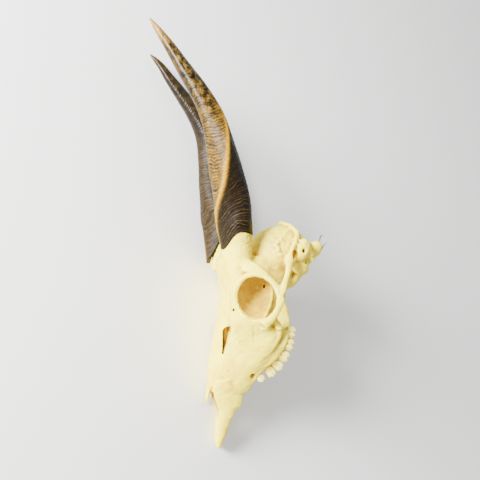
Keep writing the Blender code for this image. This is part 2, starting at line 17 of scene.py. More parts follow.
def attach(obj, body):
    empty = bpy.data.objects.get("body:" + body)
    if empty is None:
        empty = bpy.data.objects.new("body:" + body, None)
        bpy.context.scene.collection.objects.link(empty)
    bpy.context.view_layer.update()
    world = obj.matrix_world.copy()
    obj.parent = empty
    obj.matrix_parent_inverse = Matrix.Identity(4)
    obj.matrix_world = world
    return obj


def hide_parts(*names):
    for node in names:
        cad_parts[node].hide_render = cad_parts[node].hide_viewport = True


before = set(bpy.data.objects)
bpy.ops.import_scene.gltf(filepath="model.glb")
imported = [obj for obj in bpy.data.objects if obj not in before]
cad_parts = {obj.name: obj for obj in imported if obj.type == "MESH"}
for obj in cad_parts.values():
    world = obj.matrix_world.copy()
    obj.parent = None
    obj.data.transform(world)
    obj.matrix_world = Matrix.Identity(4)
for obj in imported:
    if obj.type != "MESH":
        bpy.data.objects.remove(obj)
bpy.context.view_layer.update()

# How the skull lies
# The skull rests on its right horn, the brow's edge of its right eye socket and the right edge of
# its muzzle, so it is turned about its own length and about its cross axis.
LIE_ABOUT_X = 10.28
LIE_ABOUT_Y = -27.9
LIE_SHIFT = Vector((19.497, -1.276, 50.54))
MM = 0.001
about_x = Matrix.Rotation(math.radians(LIE_ABOUT_X), 4, "X")
turn = Matrix.Rotation(math.radians(LIE_ABOUT_Y), 4, "Y") @ about_x
place = Matrix.Translation(LIE_SHIFT * MM) @ turn


def link(name, data):
    """A new object in the scene, with this mesh, lamp or camera."""
    thing = bpy.data.objects.new(name, data)
    bpy.context.scene.collection.objects.link(thing)
    return thing


def as_object(name, bm):
    """A new object with this mesh, which can't be edited as a bmesh any more."""
    mesh = bpy.data.meshes.new(name)
    bm.to_mesh(mesh)
    bm.free()
    return link(name, mesh)


# The camera
# It looks down on the skull's left side from above the floor, a little from the brow and the nose,
# as the photograph does, with a normal lens from 650 mm away.
CAMERA_DISTANCE = 0.65
LENS_PIXELS = 625.0
PICTURE_PIXELS = 480
SENSOR = 36
TOWARDS_BROW = -0.20
TOWARDS_NOSE = -0.10
back = Vector((TOWARDS_BROW, TOWARDS_NOSE, 0.0))
back.z = math.sqrt(1 - back.length_squared)
right = Vector((0, 1, 0)).cross(back).normalized()
pose = Matrix((right, back.cross(right), back)).transposed().to_4x4()
pose.translation = back * CAMERA_DISTANCE
camera = link("camera", bpy.data.cameras.new("camera"))
camera.data.sensor_width = SENSOR
camera.data.lens = SENSOR * LENS_PIXELS / PICTURE_PIXELS
camera.data.clip_start = 0.01
camera.matrix_world = place @ pose
bpy.context.scene.camera = camera


# The floor and the light
# A plain pale floor, a white surround, and two large soft lamps: the key from above the brow and a
# weak one from the nape's side.
def linear(code):
    """A colour from its sRGB hex code."""
    parts = [int(code[i : i + 2], 16) / 255 for i in (1, 3, 5)]
    return [part / 12.92 if part <= 0.04045 else ((part + 0.055) / 1.055) ** 2.4 for part in parts] + [1.0]


class Shader:
    """A material's node tree, with one short call for each node."""

    def __init__(self, name):
        self.material = bpy.data.materials.new(name)
        self.material.use_nodes = True
        self.tree = self.material.node_tree
        self.surface = self.tree.nodes["Principled BSDF"]

    def add(self, kind, inputs=None, **settings):
        """Adds a node: inputs are values or output sockets by name or number."""
        node = self.tree.nodes.new("ShaderNode" + kind)
        for key, value in settings.items():
            setattr(node, key, value)
        for key, value in (inputs or {}).items():
            self.feed(node.inputs[key], value)
        return node

    def feed(self, socket, value):
        if isinstance(value, bpy.types.NodeSocket):
            self.tree.links.new(value, socket)
        else:
            socket.default_value = value

    def layer(self, name, kind="Fac"):
        """A value or a colour that the mesh stores for each point."""
        return self.add("Attribute", attribute_name=name).outputs[kind]

    def millimetres(self):
        where = self.add("TexCoord").outputs["Object"]
        return self.add("VectorMath", {0: where, "Scale": 1 / MM}, operation="SCALE").outputs[0]

    def noise(self, where, scale, detail, roughness=0.5):
        settings = {"Vector": where, "Scale": scale, "Detail": detail, "Roughness": roughness}
        return self.add("TexNoise", settings).outputs["Fac"]

    def ramp(self, value, low, high, first=0.0, last=1.0):
        """Runs from first to last while the value runs from low to high, and is level beyond."""
        return self.add("MapRange", {0: value, 1: low, 2: high, 3: first, 4: last}).outputs[0]

    def times(self, one, two):
        return self.add("Math", {0: one, 1: two}, operation="MULTIPLY").outputs[0]

    def mix(self, share, one, two):
        """Mixes two colours, each a hex code or a socket."""
        one, two = (linear(code) if isinstance(code, str) else code for code in (one, two))
        return self.add("Mix", {0: share, 6: one, 7: two}, data_type="RGBA").outputs[2]

    def bump(self, height, strength, distance, under=None, invert=False):
        """Relief of this many millimetres, over the relief given as under."""
        inputs = {"Height": height, "Strength": strength, "Distance": distance * MM}
        if under:
            inputs["Normal"] = under
        return self.add("Bump", inputs, invert=invert).outputs[0]

    def finish(self, shine=0.5, **inputs):
        self.surface.inputs["Specular IOR Level"].default_value = shine
        for key, value in inputs.items():
            self.feed(self.surface.inputs[key.replace("_", " ")], value)
        return self.material


FLOOR_HALF = 4.0
SURROUND_STRENGTH = 0.85
floor_look = Shader("pale matte board").finish(Base_Color=linear("#F4F4F2"), Roughness=0.9)
bm = bmesh.new()
bmesh.ops.create_grid(bm, x_segments=1, y_segments=1, size=FLOOR_HALF)
floor = as_object("floor", bm)
floor.data.materials.append(floor_look)

world = bpy.data.worlds.new("surround")
world.use_nodes = True
world.node_tree.nodes["Background"].inputs["Color"].default_value = (1, 1, 1, 1)
world.node_tree.nodes["Background"].inputs["Strength"].default_value = SURROUND_STRENGTH
bpy.context.scene.world = world


def lamp(name, direction, distance, size, power):
    """A square soft lamp that faces the skull, from a direction in skull axes."""
    light = bpy.data.lights.new(name, "AREA")
    light.size = size
    light.energy = power
    thing = link(name, light)
    away = (turn.to_3x3() @ Vector(direction)).normalized()
    facing = away.to_track_quat("Z", "Y").to_matrix().to_4x4()
    thing.matrix_world = Matrix.Translation(away * distance) @ facing


lamp("key", (-0.95, 0.45, 1.0), 1.3, 0.45, 110)
lamp("fill", (0.7, 0.4, 1.0), 1.5, 1.0, 4)


# The cranium and the face
# Dry, boiled-out bone: thin plates and bars grown together, with the eye sockets, nose and ear
# openings hollow. It is melted on a fine grid from overlapping masses and then parted at its seams.
# Lengths are in millimetres; MELT_EASE and BAR_EASE are rounds, SMALLEST_BODY is faces.
GAP = 0.16
BONE_GRAIN = 0.88
ORBIT_HALF_WIDTH = 19.0
ORBIT_HALF_LENGTH = 20.3
ORBIT_CENTRE = Vector((7.5, -60.5, 44.5))
ORBIT_DOWN = Vector((1.0, -0.03, 0.36)).normalized()
ORBIT_BACK = Vector((-0.06, 1.0, 0.05)).normalized()
HORN_WALL = 3.0
HORN_SOCKET_DEPTH = 30.0
SHEATH_CLEARANCE = 0.8
CORE_SLACK = 2.2
HORN_RIM_LIFT = 32.0
MELT_EASE = 10
SMALLEST_BODY = 400
BAR_EASE = 3
SOCKET_TAPER = 1.2
SHEATH_STEPS = 32
ROOM_STEPS = 12
RIM_SIDES = 8
CURVE_STEPS = 400
HORN_FRAMES = 121
WALL_HALF = 75
WAVES = 24
PIT_SPOTS = 4096


def bend(a, b, c, d, t):
    """The Catmull-Rom value at share t between b and c."""
    return 0.5 * (2 * b + (c - a) * t + (2 * a - 5 * b + 4 * c - d) * t**2 + (3 * b - a - 3 * c + d) * t**3)


def curve_through(points, count):
    """Points of a smooth curve through the given ones, evenly numbered between them."""
    knots = [Vector(p) for p in points]
    knots = [2 * knots[0] - knots[1]] + knots + [2 * knots[-1] - knots[-2]]
    spans = len(knots) - 3
    made = []
    for k in range(count):
        at = k / (count - 1) * spans
        i = min(int(at), spans - 1)
        made.append(bend(*knots[i : i + 4], at - i))
    return made


def even_steps(path, count):
    """The same path with its points at equal distances."""
    reach = [0.0]
    for a, b in zip(path, path[1:]):
        reach.append(reach[-1] + (b - a).length)
    made = []
    i = 0
    for k in range(count):
        want = reach[-1] * k / (count - 1)
        while i < len(path) - 2 and reach[i + 1] < want:
            i += 1
        made.append(path[i].lerp(path[i + 1], (want - reach[i]) / (reach[i + 1] - reach[i])))
    return made, reach[-1]


def value_at(table, at):
    """A smooth value from a table of (place, value) pairs, level past its ends."""
    if at <= table[0][0]:
        return table[0][1]
    if at >= table[-1][0]:
        return table[-1][1]
    i = 0
    while table[i + 1][0] < at:
        i += 1

    def slope(k):
        low, high = max(0, k - 1), min(len(table) - 1, k + 1)
        return (table[high][1] - table[low][1]) / (table[high][0] - table[low][0])

    (x0, v0), (x1, v1) = table[i], table[i + 1]
    wide = x1 - x0
    t = (at - x0) / wide
    rise = v0 * (2 * t**3 - 3 * t**2 + 1) + v1 * (3 * t**2 - 2 * t**3)
    return rise + wide * (slope(i) * (t**3 - 2 * t**2 + t) + slope(i + 1) * (t**3 - t**2))


def loft(name, rings):
    """A closed solid: the first ring is a face, which is extruded from ring to ring."""
    bm = bmesh.new()
    count = len(rings[0])
    old = [bm.verts.new(p) for p in rings[0]]
    bm.faces.new(old)
    for ring in rings[1:]:
        new = [bm.verts.new(p) for p in ring]
        for i in range(count):
            j = (i + 1) % count
            bm.faces.new((old[i], old[j], new[j], new[i]))
        old = new
    bm.faces.new(old)
    bmesh.ops.triangulate(bm, faces=[face for face in bm.faces if len(face.verts) > 4])
    return closed(name, bm)


def closed(name, bm):
    bmesh.ops.recalc_face_normals(bm, faces=bm.faces)
    return as_object(name, bm)


def heading(path, i):
    """The direction of a path at its point number i."""
    return (path[min(i + 1, len(path) - 1)] - path[max(i - 1, 0)]).normalized()


def frames_along(path, side):
    """For each point of a path: its direction and two cross directions, the first kept near side."""
    made = []
    for i, point in enumerate(path):
        ahead = heading(path, i)
        across = (side - side.dot(ahead) * ahead).normalized()
        made.append((point, ahead, across, across.cross(ahead)))
    return made


def tube(name, points, widths, depths, side=(0, 0, 1), steps=12, sides=12):
    """A bar along a curve: widths run along side and depths across it, both as (share, half size)."""
    path = curve_through(points, steps)
    rings = []
    for i, (point, _, across, other) in enumerate(frames_along(path, Vector(side))):
        half_width = value_at(widths, i / (steps - 1))
        half_depth = value_at(depths, i / (steps - 1))
        rings.append([point + across * half_width * c + other * half_depth * s for c, s in circle(sides)])
    return loft(name, rings)


def circle(sides):
    turns = [2 * math.pi * k / sides for k in range(sides)]
    return [(math.cos(turn), math.sin(turn)) for turn in turns]


def ball(name, centre, radii, turn_z=0.0):
    """An ellipsoid, turned by degrees about the skull's cross axis."""
    bm = bmesh.new()
    bmesh.ops.create_icosphere(bm, subdivisions=4, radius=1.0)
    seat = Matrix.Translation(centre) @ Matrix.Rotation(math.radians(turn_z), 4, "Z")
    bmesh.ops.transform(bm, matrix=seat @ Matrix.Diagonal((*radii, 1)), verts=bm.verts)
    return closed(name, bm)


def prism(name, outline, low, high):
    """A flat outline of (x, y) points, extruded along z."""
    return loft(name, [[Vector((x, y, z)) for x, y in outline] for z in (low, high)])


def mirrored(thing):
    """The same piece on the animal's other side."""
    bm = bmesh.new()
    bm.from_mesh(thing.data)
    bmesh.ops.transform(bm, matrix=Matrix.Diagonal((1, 1, -1, 1)), verts=bm.verts)
    return closed(thing.name, bm)


def other_side(thing):
    """Moves a piece to the animal's other side."""
    swapped = mirrored(thing)
    bpy.data.objects.remove(thing)
    return swapped


def both(thing):
    return [thing, mirrored(thing)]


def settle(thing):
    """Makes a piece's modifiers part of its mesh."""
    graph = bpy.context.evaluated_depsgraph_get()
    mesh = bpy.data.meshes.new_from_object(thing.evaluated_get(graph))
    thing.modifiers.clear()
    thing.data = mesh
    return thing


def joined(name, things):
    """One mesh that holds every piece, each as it is."""
    bm = bmesh.new()
    for thing in things:
        bm.from_mesh(thing.data)
        bpy.data.objects.remove(thing)
    return as_object(name, bm)


def grown_together(name, things, grain, rounds):
    """Pieces melted into one bone on a fine grid, with their meeting lines eased."""
    thing = joined(name, things)
    melt = thing.modifiers.new("melt", "REMESH")
    melt.mode = "VOXEL"
    melt.voxel_size = grain
    ease = thing.modifiers.new("ease", "SMOOTH")
    ease.iterations = rounds
    return settle(thing)


def cut(thing, cutter, operation="DIFFERENCE"):
    knife = thing.modifiers.new("knife", "BOOLEAN")
    knife.operation = operation
    knife.solver = "MANIFOLD"
    knife.object = cutter
    settle(thing)
    bpy.data.objects.remove(cutter)
    return thing


# Cross cuts of the face: y, the midline's x on top, five (x, z) places down the side, the midline's
# x below
FACE_CUTS = (
    (-154, -31.5, (-28.5, 8), (-21, 13.5), (-10, 17.0), (0, 16.5), (4.5, 13), -2),
    (-147, -33.0, (-30, 9), (-21, 15.5), (-8, 20.5), (4, 20), (9, 16.5), 2),
    (-138, -33.8, (-30.5, 10.5), (-20, 19), (-4, 24.5), (8, 24), (14, 20.5), 7),
    (-129, -32.8, (-29.5, 12), (-18, 22), (2, 29), (15, 28), (23, 24), 15),
    (-119, -31.4, (-28, 13.5), (-16, 25), (10, 33.5), (24, 31.5), (34, 27.5), 24),
    (-107, -29.2, (-25.5, 15), (-14, 28), (18, 38), (30, 34.5), (41, 30), 31),
    (-95, -26.9, (-23.5, 18), (-12.5, 31.5), (22, 41.5), (34, 33), (44.5, 29.5), 35),
    (-84, -24.0, (-20.5, 23), (-11, 37), (12, 46), (29, 29), (47, 24), 36),
    (-72, -21.4, (-17.8, 27.5), (-9, 40), (8, 45), (28, 28), (46, 20), 37),
    (-58, -19.8, (-16, 30.5), (-8, 40.5), (6, 42), (30, 26), (43, 16), 36),
    (-44, -19.8, (-16, 31.5), (-7, 39), (6, 37), (29, 27), (44, 18), 40),
    (-30, -22.8, (-18.5, 31), (-8, 36), (6, 32), (26, 26), (46, 20), 48),
    (-18, -21.0, (-16, 28), (-4, 30), (8, 27), (28, 27), (46, 22), 50),
)


def face_ring(row):
    """A closed ring across the face from one row of the table."""
    half = [(row[1], 0.0), *row[2:7], (row[7], 0.0)]
    whole = [Vector((x, row[0], z)) for x, z in half]
    whole += [Vector((p.x, p.y, -p.z)) for p in whole[-2:0:-1]]
    count = len(whole)
    ring = []
    for i in range(count):
        corners = [whole[(i + k) % count] for k in (-1, 0, 1, 2)]
        ring += [bend(*corners, t) for t in (0, 0.25, 0.5, 0.75)]
    return ring


def face_solid():
    """The muzzle, brow and cheeks in one closed loft."""
    rows = [face_ring(row) for row in FACE_CUTS]
    rows = [rows[0]] + rows + [rows[-1]]
    rings = []
    for i in range(len(rows) - 3):
        for t in (0, 0.33, 0.67):
            rings.append([bend(*corners, t) for corners in zip(*rows[i : i + 4])])
    return loft("face", rings + [rows[-1]])


# The middle of each horn, from inside the brow to the tip, and its half width and the turn of its
# keel in degrees, both by the share of its length
LEFT_HORN_LINE = (
    (-6.5, -30, 22.5),
    (-6.6, -14, 24.5),
    (-7.8, 2, 26.5),
    (-10.9, 18, 29),
    (-15.0, 35, 31.5),
    (-20.4, 59, 35),
    (-25.4, 84, 37.5),
    (-31.6, 106, 39),
    (-40.9, 126, 39),
    (-52.0, 146, 38),
    (-64.8, 166, 36.5),
    (-78.0, 187, 35),
    (-98.0, 215.2, 34),
)
RIGHT_HORN_LINE = (
    (-13.0, -30, 22.5),
    (-14.6, -15, 24.0),
    (-14.4, 2, 26.5),
    (-15.4, 20, 29.0),
    (-19.4, 38, 31.5),
    (-21.9, 56, 34.0),
    (-23.2, 74, 36.5),
    (-25.2, 92, 38.0),
    (-28.5, 110, 38.5),
    (-35.2, 127.5, 38.0),
    (-45.5, 145, 37.0),
    (-58.3, 162, 36.0),
    (-71.4, 179, 35.0),
    (-82.0, 193.8, 34.5),
    (-93.4, 205.8, 34.0),
)
HORN_HALF = (
    (0.0, 14.6),
    (0.06, 15.2),
    (0.12, 16.6),
    (0.18, 18.2),
    (0.25, 18.9),
    (0.37, 17.4),
    (0.43, 15.7),
    (0.52, 13.1),
    (0.61, 10.8),
    (0.7, 9.2),
    (0.785, 7.5),
    (0.91, 4.6),
    (0.97, 2.6),
    (1.0, 0.7),
)
KEEL_TURN = (
    (0.1, 193),
    (0.16, 188),
    (0.25, 144),
    (0.32, 114),
    (0.43, 84),
    (0.535, 50),
    (0.61, 24),
    (0.72, 4),
    (1.0, -8),
)


def edge_wave(up):
    """How much of the lower edge's wave a cross cut still has, this share of the way up."""
    return max(0.0, 1 - up * 8)


class Horn:
    """A horn: its line, and the shape of its sheath's lower edge, in millimetres along it."""

    def __init__(self, line, front_drop, outer_rise, rear_rise):
        path, self.length = even_steps(curve_through(line, CURVE_STEPS), HORN_FRAMES)
        self.frames = frames_along(path, Vector((1, 0, 0)))
        self.front_drop = front_drop
        self.outer_rise = outer_rise
        self.rear_rise = rear_rise
        self.rim = HORN_RIM_LIFT / self.length
        self.socket = HORN_SOCKET_DEPTH / self.length

    def ring(self, share, inset, wave=0.0, sides=28):
        """One cross cut: a rounded triangle with a sharp keel, its edge waved as the rim is."""
        at = share * (len(self.frames) - 1)
        i = min(int(at), len(self.frames) - 2)
        pairs = zip(self.frames[i], self.frames[i + 1])
        point, ahead, across, outer = (a.lerp(b, at - i) for a, b in pairs)
        half = value_at(HORN_HALF, share) - inset
        keel = math.radians(value_at(KEEL_TURN, share))
        ring = []
        for k in range(sides):
            turn = 2 * math.pi * k / sides
            off = (turn - keel + math.pi) % (2 * math.pi) - math.pi
            reach = half * (0.97 + 0.05 * math.cos(3 * off) + 0.10 * math.exp(-((off / 0.32) ** 2)))
            c, s = math.cos(turn), math.sin(turn)
            rise = self.outer_rise * max(0, s) ** 2 + self.rear_rise * max(0, c) ** 2
            rise -= self.front_drop * max(0, -c) ** 1.6
            ring.append(point + (across * c + outer * s) * reach + ahead * rise * wave)
        return ring

    def room(self):
        """The space a sheath takes from the bone, with clearance all round."""
        half = value_at(HORN_HALF, self.rim)
        low = self.rim - SHEATH_CLEARANCE / self.length
        rings = [self.ring(low, half - 3, 1), self.ring(low, -SHEATH_CLEARANCE, 1)]
        for step in range(1, ROOM_STEPS):
            up = step / SHEATH_STEPS
            rings.append(self.ring(self.rim + (1 - self.rim) * up, -SHEATH_CLEARANCE, edge_wave(up)))
        return loft("room", rings)

    def core(self):
        """The bony core that stands in the sheath's cup."""
        rings = []
        for share in (0.04, 0.08, self.rim):
            rings.append(self.ring(share, HORN_WALL + CORE_SLACK, 0, 16))
        for down in (0.25, 0.5, 0.75, 0.96):
            inset = HORN_WALL + SOCKET_TAPER * down + CORE_SLACK
            rings.append(self.ring(self.rim + self.socket * down, inset, 0, 16))
        return loft("core", rings)

    def pedicle(self, inset):
        """The stump of brow bone under the sheath."""
        return loft("pedicle", [self.ring(share, inset, 0, 24) for share in (0, 0.04, 0.08, 0.12, 0.15)])


LEFT_HORN = Horn(LEFT_HORN_LINE, 12, 4, -1.5)
RIGHT_HORN = Horn(RIGHT_HORN_LINE, 25, 4, -3)


def orbit_ring(scale, lift=0.0, count=28):
    """Points round the eye socket's rim, in the tilted plane of its opening."""
    out = ORBIT_DOWN.cross(ORBIT_BACK)
    ring = []
    for c, s in circle(count):
        ring.append(
            ORBIT_CENTRE
            + ORBIT_DOWN * ORBIT_HALF_WIDTH * scale * c
            + ORBIT_BACK * ORBIT_HALF_LENGTH * scale * s
            + out * lift
        )
    return ring


def orbit_cutter():
    """The hollow of an eye socket: a round mouth that narrows towards the middle of the skull."""
    base = Vector((15.0, -50.0, 15.0))
    sizes = ((-0.35, 1.12), (0.0, 1.0), (0.25, 1.02), (0.5, 0.94), (0.75, 0.74), (0.92, 0.46), (1.0, 0.18))
    rings = []
    for share, scale in sizes:
        rings.append([p + (base - ORBIT_CENTRE) * share for p in orbit_ring(scale)])
    return loft("orbit_hollow", rings)


def orbit_rim():
    """The raised rim round an eye socket."""
    ring = orbit_ring(1.13, -1.2, 40)
    centre = sum(ring, Vector()) / len(ring)
    bm = bmesh.new()
    loops = []
    for p, q in zip(ring, ring[1:] + ring[:1]):
        outward = (p - centre).normalized()
        lift = (q - p).normalized().cross(outward)
        loops.append([bm.verts.new(p + outward * 3.1 * c + lift * 3.4 * s) for c, s in circle(RIM_SIDES)])
    for a, b in zip(loops, loops[1:] + loops[:1]):
        for k in range(RIM_SIDES):
            j = (k + 1) % RIM_SIDES
            bm.faces.new((a[k], a[j], b[j], b[k]))
    return closed("orbit_rim", bm)


# Cross cuts of the plate: y, x of its middle, half height, z of its middle, half thickness
PREMAXILLA_CUTS = (
    (-140, -13.0, 15.0, 19.0, 2.6),
    (-146, -14.0, 16.5, 17.6, 2.6),
    (-152, -15.0, 15.8, 16.2, 2.4),
    (-160, -13.8, 14.5, 14.4, 2.2),
    (-167, -13.0, 12.4, 12.9, 2.2),
    (-170, -14.4, 10.0, 12.2, 2.2),
    (-173, -15.5, 8.4, 11.6, 2.2),
    (-180, -17.2, 6.8, 10.4, 2.3),
    (-190, -19.1, 5.4, 8.0, 2.5),
    (-200, -21.1, 4.3, 5.4, 2.7),
    (-206, -22.0, 3.3, 3.8, 2.5),
    (-209.5, -22.4, 1.4, 2.8, 1.4),
)


def premaxilla():
    """A thin upright plate that ends in the snout's tip, and the rod of bone beside the midline."""
    rings = []
    for y, x, height, z, thick in PREMAXILLA_CUTS:
        ring = []
        for c, s in circle(20):
            ring.append(Vector((x + height * c, y, z + thick * s - 0.12 * height * c * c)))
        rings.append(ring)
    rod = tube(
        "rod",
        [(-20.5, -205, 3.2), (-17, -192, 2.4), (-13, -175, 2.3), (-6, -158, 2.4), (-2, -148, 2.5)],
        [(0, 1.7), (1, 1.5)],
        [(0, 2.6), (0.5, 2.2), (1, 2.4)],
    )
    return [loft("plate", rings), rod]


def bone_masses():
    """Every mass of bone, overlapping, before the hollows are cut."""
    middle = [
        face_solid(),
        ball("braincase", (36, -14.6, 0), (36.5, 27.5, 31), 37),
        ball("nape", (58.2, -9.2, 0), (17, 15, 33), -35),
        ball("sphenoid", (41, -38, 0), (14, 16, 19)),
        tube(
            "base",
            [(75, -14, 0), (66.5, -24, 0), (57.5, -38, 0), (47, -48, 0)],
            [(0, 14), (0.5, 11), (1, 9)],
            [(0, 7), (1, 7)],
        ),
    ]
    paired = [
        ball("condyle", (77.5, -9.2, 11), (7.4, 9.4, 8), -20),
        ball("bulla", (58, -27, 21), (9, 11, 8), 30),
        ball("mastoid", (57, -12, 31), (9, 12, 7), -20),
        tube(
            "paroccipital",
            [(62, -10, 30), (67, -17, 28), (71.5, -23, 26)],
            [(0, 5), (1, 2.2)],
            [(0, 6), (1, 2.4)],
        ),
        ball("arch_root", (42, -23.5, 38.5), (5.5, 8, 7)),
    ]
    sides = [half for piece in paired for half in both(piece)]
    return middle + sides + [LEFT_HORN.pedicle(0.3), other_side(RIGHT_HORN.pedicle(2.4))]


# Bars on both sides: name, places along it, half widths, half depths, options of tube
THIN_BARS = (
    (
        "postorbital",
        ((-2, -28, 36), (8, -34, 42.5), (18, -43, 48), (27, -53, 50.5), (33, -62, 51)),
        ((0, 3.5), (0.5, 2.6), (1, 2.8)),
        ((0, 7), (0.5, 4.6), (1, 5.5)),
        {},
    ),
    (
        "zygomatic",
        ((14, -86, 45), (22, -78, 49), (28, -67, 51), (31, -56, 51.5))
        + ((34.5, -44, 50.5), (39, -32, 47), (41.5, -22, 41)),
        ((0, 3.5), (0.3, 2.6), (1, 2.8)),
        ((0, 6), (0.25, 4.0), (0.45, 4.6), (0.7, 2.8), (1, 4.5)),
        {"steps": 18},
    ),
    (
        "cheek_ridge",
        ((24, -80, 43.5), (32, -92, 37), (25, -108, 34.5), (15, -121, 30)),
        ((0, 3.2), (0.3, 3.6), (1, 2.2)),
        ((0, 3.4), (0.3, 3.6), (1, 2.4)),
        {},
    ),
    (
        "nape_crest",
        ((42.6, 19.4, 2), (49.5, 14.4, 12), (54.5, 6, 24))
        + ((51, -2, 32.5), (45.5, -12, 38), (41.5, -22, 42)),
        ((0, 2.2), (1, 2.6)),
        ((0, 2.4), (1, 3.0)),
        {"side": (1, 0.5, 0), "steps": 18},
    ),
    (
        "pterygoid",
        ((37, -44, 12), (43.5, -48, 11), (50, -45, 10)),
        ((0, 2.0), (1, 1.5)),
        ((0, 8), (0.6, 5), (1, 3)),
        {},
    ),
    (
        "nasal_tip",
        ((-31, -145, 5.5), (-33.2, -154, 5.0), (-35.2, -165.5, 4.4)),
        ((0, 4.0), (0.6, 3.0), (1, 1.0)),
        ((0, 1.9), (1, 1.1)),
        {},
    ),
)
# Holes on both sides, in the same form
ACROSS = {"side": (1, 0, 0)}
HOLES = (
    ("ear_pit", ((51, -16, 23), (47, -18, 45)), ((0, 2.8), (1, 3.4)), ((0, 4.6), (1, 6.0)), ACROSS),
    ("ear_hole", ((57, -13, 24), (58, -13.5, 44)), ((0, 1.8), (1, 2.0)), ((0, 2.2), (1, 2.6)), ACROSS),
    (
        "cheek_hole",
        ((2, -124, 21), (9, -139, 24.5), (13, -150, 28)),
        ((0, 2.6), (1, 2.8)),
        ((0, 2.2), (1, 3.0)),
        {},
    ),
)


def tubes_on_both_sides(rows):
    """The tubes of a table, each with its mirror image."""
    made = []
    for name, places, widths, depths, options in rows:
        made += both(tube(name, places, widths, depths, **options))
    return made


def thin_bars():
    """The bars, rims and ridges, added after the masses are eased."""
    bars = both(orbit_rim()) + tubes_on_both_sides(THIN_BARS)
    for piece in premaxilla():
        bars += both(piece)
    return bars


# The hollow of the nose: y, x of its top and its bottom, half width
NOSE_CUTS = (
    (-178, -28, -18, 6),
    (-168, -30, -13, 9.5),
    (-152, -29.5, -9, 12.5),
    (-138, -30.3, 0, 15.5),
    (-120, -28.0, 15, 18),
    (-104, -25.0, 23, 19),
    (-92, -20, 25, 17),
    (-84, -15, 23, 12),
)
# The gap between brow, nasal and cheek bones, as (x, y) places
VACUITY = (
    (-15.4, -87),
    (-14.2, -92),
    (-17, -104),
    (-20.7, -116),
    (-22.6, -120),
    (-21.6, -108),
    (-22, -93.5),
    (-20.6, -89.5),
)


def hollows():
    """Everything that is cut out of the bone."""
    made = both(orbit_cutter())
    nose = []
    for y, top, bottom, half in NOSE_CUTS:
        middle = (top + bottom) / 2
        tall = (bottom - top) / 2
        ring = []
        for c, s in circle(20):
            narrowed = 0.72 if c < -0.3 else 1.0
            ring.append(Vector((middle + tall * c, y, s * half * narrowed)))
        nose.append(ring)
    made.append(loft("nose_hollow", nose))
    made.append(
        tube(
            "choana",
            [(30, -92, 0), (38, -80, 0), (48, -66, 0), (60, -55, 0)],
            [(0, 8), (1, 8.5)],
            [(0, 6), (0.5, 12), (1, 14)],
        )
    )
    made += both(prism("vacuity", VACUITY, 6, 40))
    opening = [(60, -6, 0), (76, -4, 0), (95, -1, 0)]
    made.append(tube("magnum", opening, [(0, 6.5), (1, 7.5)], [(0, 6), (1, 6.5)]))
    return made + tubes_on_both_sides(HOLES)


def bodies_of(thing):
    """The separate closed bodies of a mesh, each as its own object, with the middle of each."""
    bm = bmesh.new()
    bm.from_mesh(thing.data)
    bm.faces.ensure_lookup_table()
    left = set(range(len(bm.faces)))
    made = []
    while left:
        stack = [min(left)]
        left.discard(stack[0])
        group = set(stack)
        while stack:
            for edge in bm.faces[stack.pop()].edges:
                for face in edge.link_faces:
                    if face.index in left:
                        left.discard(face.index)
                        stack.append(face.index)
                        group.add(face.index)
        if len(group) < SMALLEST_BODY:
            continue
        piece = bm.copy()
        others = [face for face in piece.faces if face.index not in group]
        bmesh.ops.delete(piece, geom=others, context="FACES")
        size = piece.calc_volume(signed=True)
        middle = sum((vert.co for vert in piece.verts), Vector()) / len(piece.verts)
        made.append((size, middle, as_object("body", piece)))
    bm.free()
    bpy.data.objects.remove(thing)
    return made


def parted(thing, wall, namer):
    """Cuts a thin wall out of a piece, and keeps the largest body under each name."""
    kept = {}
    for size, middle, body in sorted(bodies_of(cut(thing, wall)), key=lambda found: -found[0]):
        name = namer(middle)
        if name in kept or size <= 0:
            bpy.data.objects.remove(body)
            continue
        body.name = name
        kept[name] = body
    return kept


def wall_along(line):
    """A thin wavy wall that stands on a line of (x, y) points."""
    chance = random.Random(3)
    points = []
    for (x0, y0), (x1, y1) in zip(line, line[1:]):
        ahead = Vector((x1 - x0, y1 - y0, 0))
        side = Vector((-ahead.y, ahead.x, 0)).normalized()
        steps = max(1, round(ahead.length / 1.7))
        for step in range(steps):
            points.append(Vector((x0, y0, 0)) + ahead * step / steps + side * chance.uniform(-0.45, 0.45))
    points.append(Vector((*line[-1], 0)))
    near, far = [], []
    for i, p in enumerate(points):
        ahead = heading(points, i)
        side = Vector((-ahead.y, ahead.x, 0)) * GAP / 2
        near.append(p + side)
        far.append(p - side)
    return prism("wall", [(p.x, p.y) for p in near + far[::-1]], -WALL_HALF, WALL_HALF)


def midline_wall():
    return prism("wall", [(-60, -230), (80, -230), (80, -60), (-60, -60)], -GAP / 2, GAP / 2)


# Where the bones part, as (x, y) places
NASAL_SEAM = (
    (-33.6, -190),
    (-32.4, -165),
    (-31.0, -152),
    (-28.9, -138),
    (-25.4, -126),
    (-22.6, -118),
    (-21.6, -106),
    (-21.6, -95),
    (-24.5, -89.5),
    (-31, -87),
    (-50, -86),
)
CHEEK_SEAM = (
    (-60, -122),
    (-24, -119.5),
    (-20, -115.5),
    (-14, -112.8),
    (-8, -106),
    (3, -105.5),
    (15, -103.5),
    (24, -96),
    (31, -86),
    (40, -79),
    (50, -74.5),
    (75, -72),
)
SNOUT_SEAM = (
    (-60, -147),
    (-31, -150),
    (-22, -154),
    (-12, -161),
    (-6, -167.5),
    (2, -174),
    (20, -185),
)


def side_name(bone):
    return lambda middle: bone + ("_left" if middle.z > 0 else "_right")


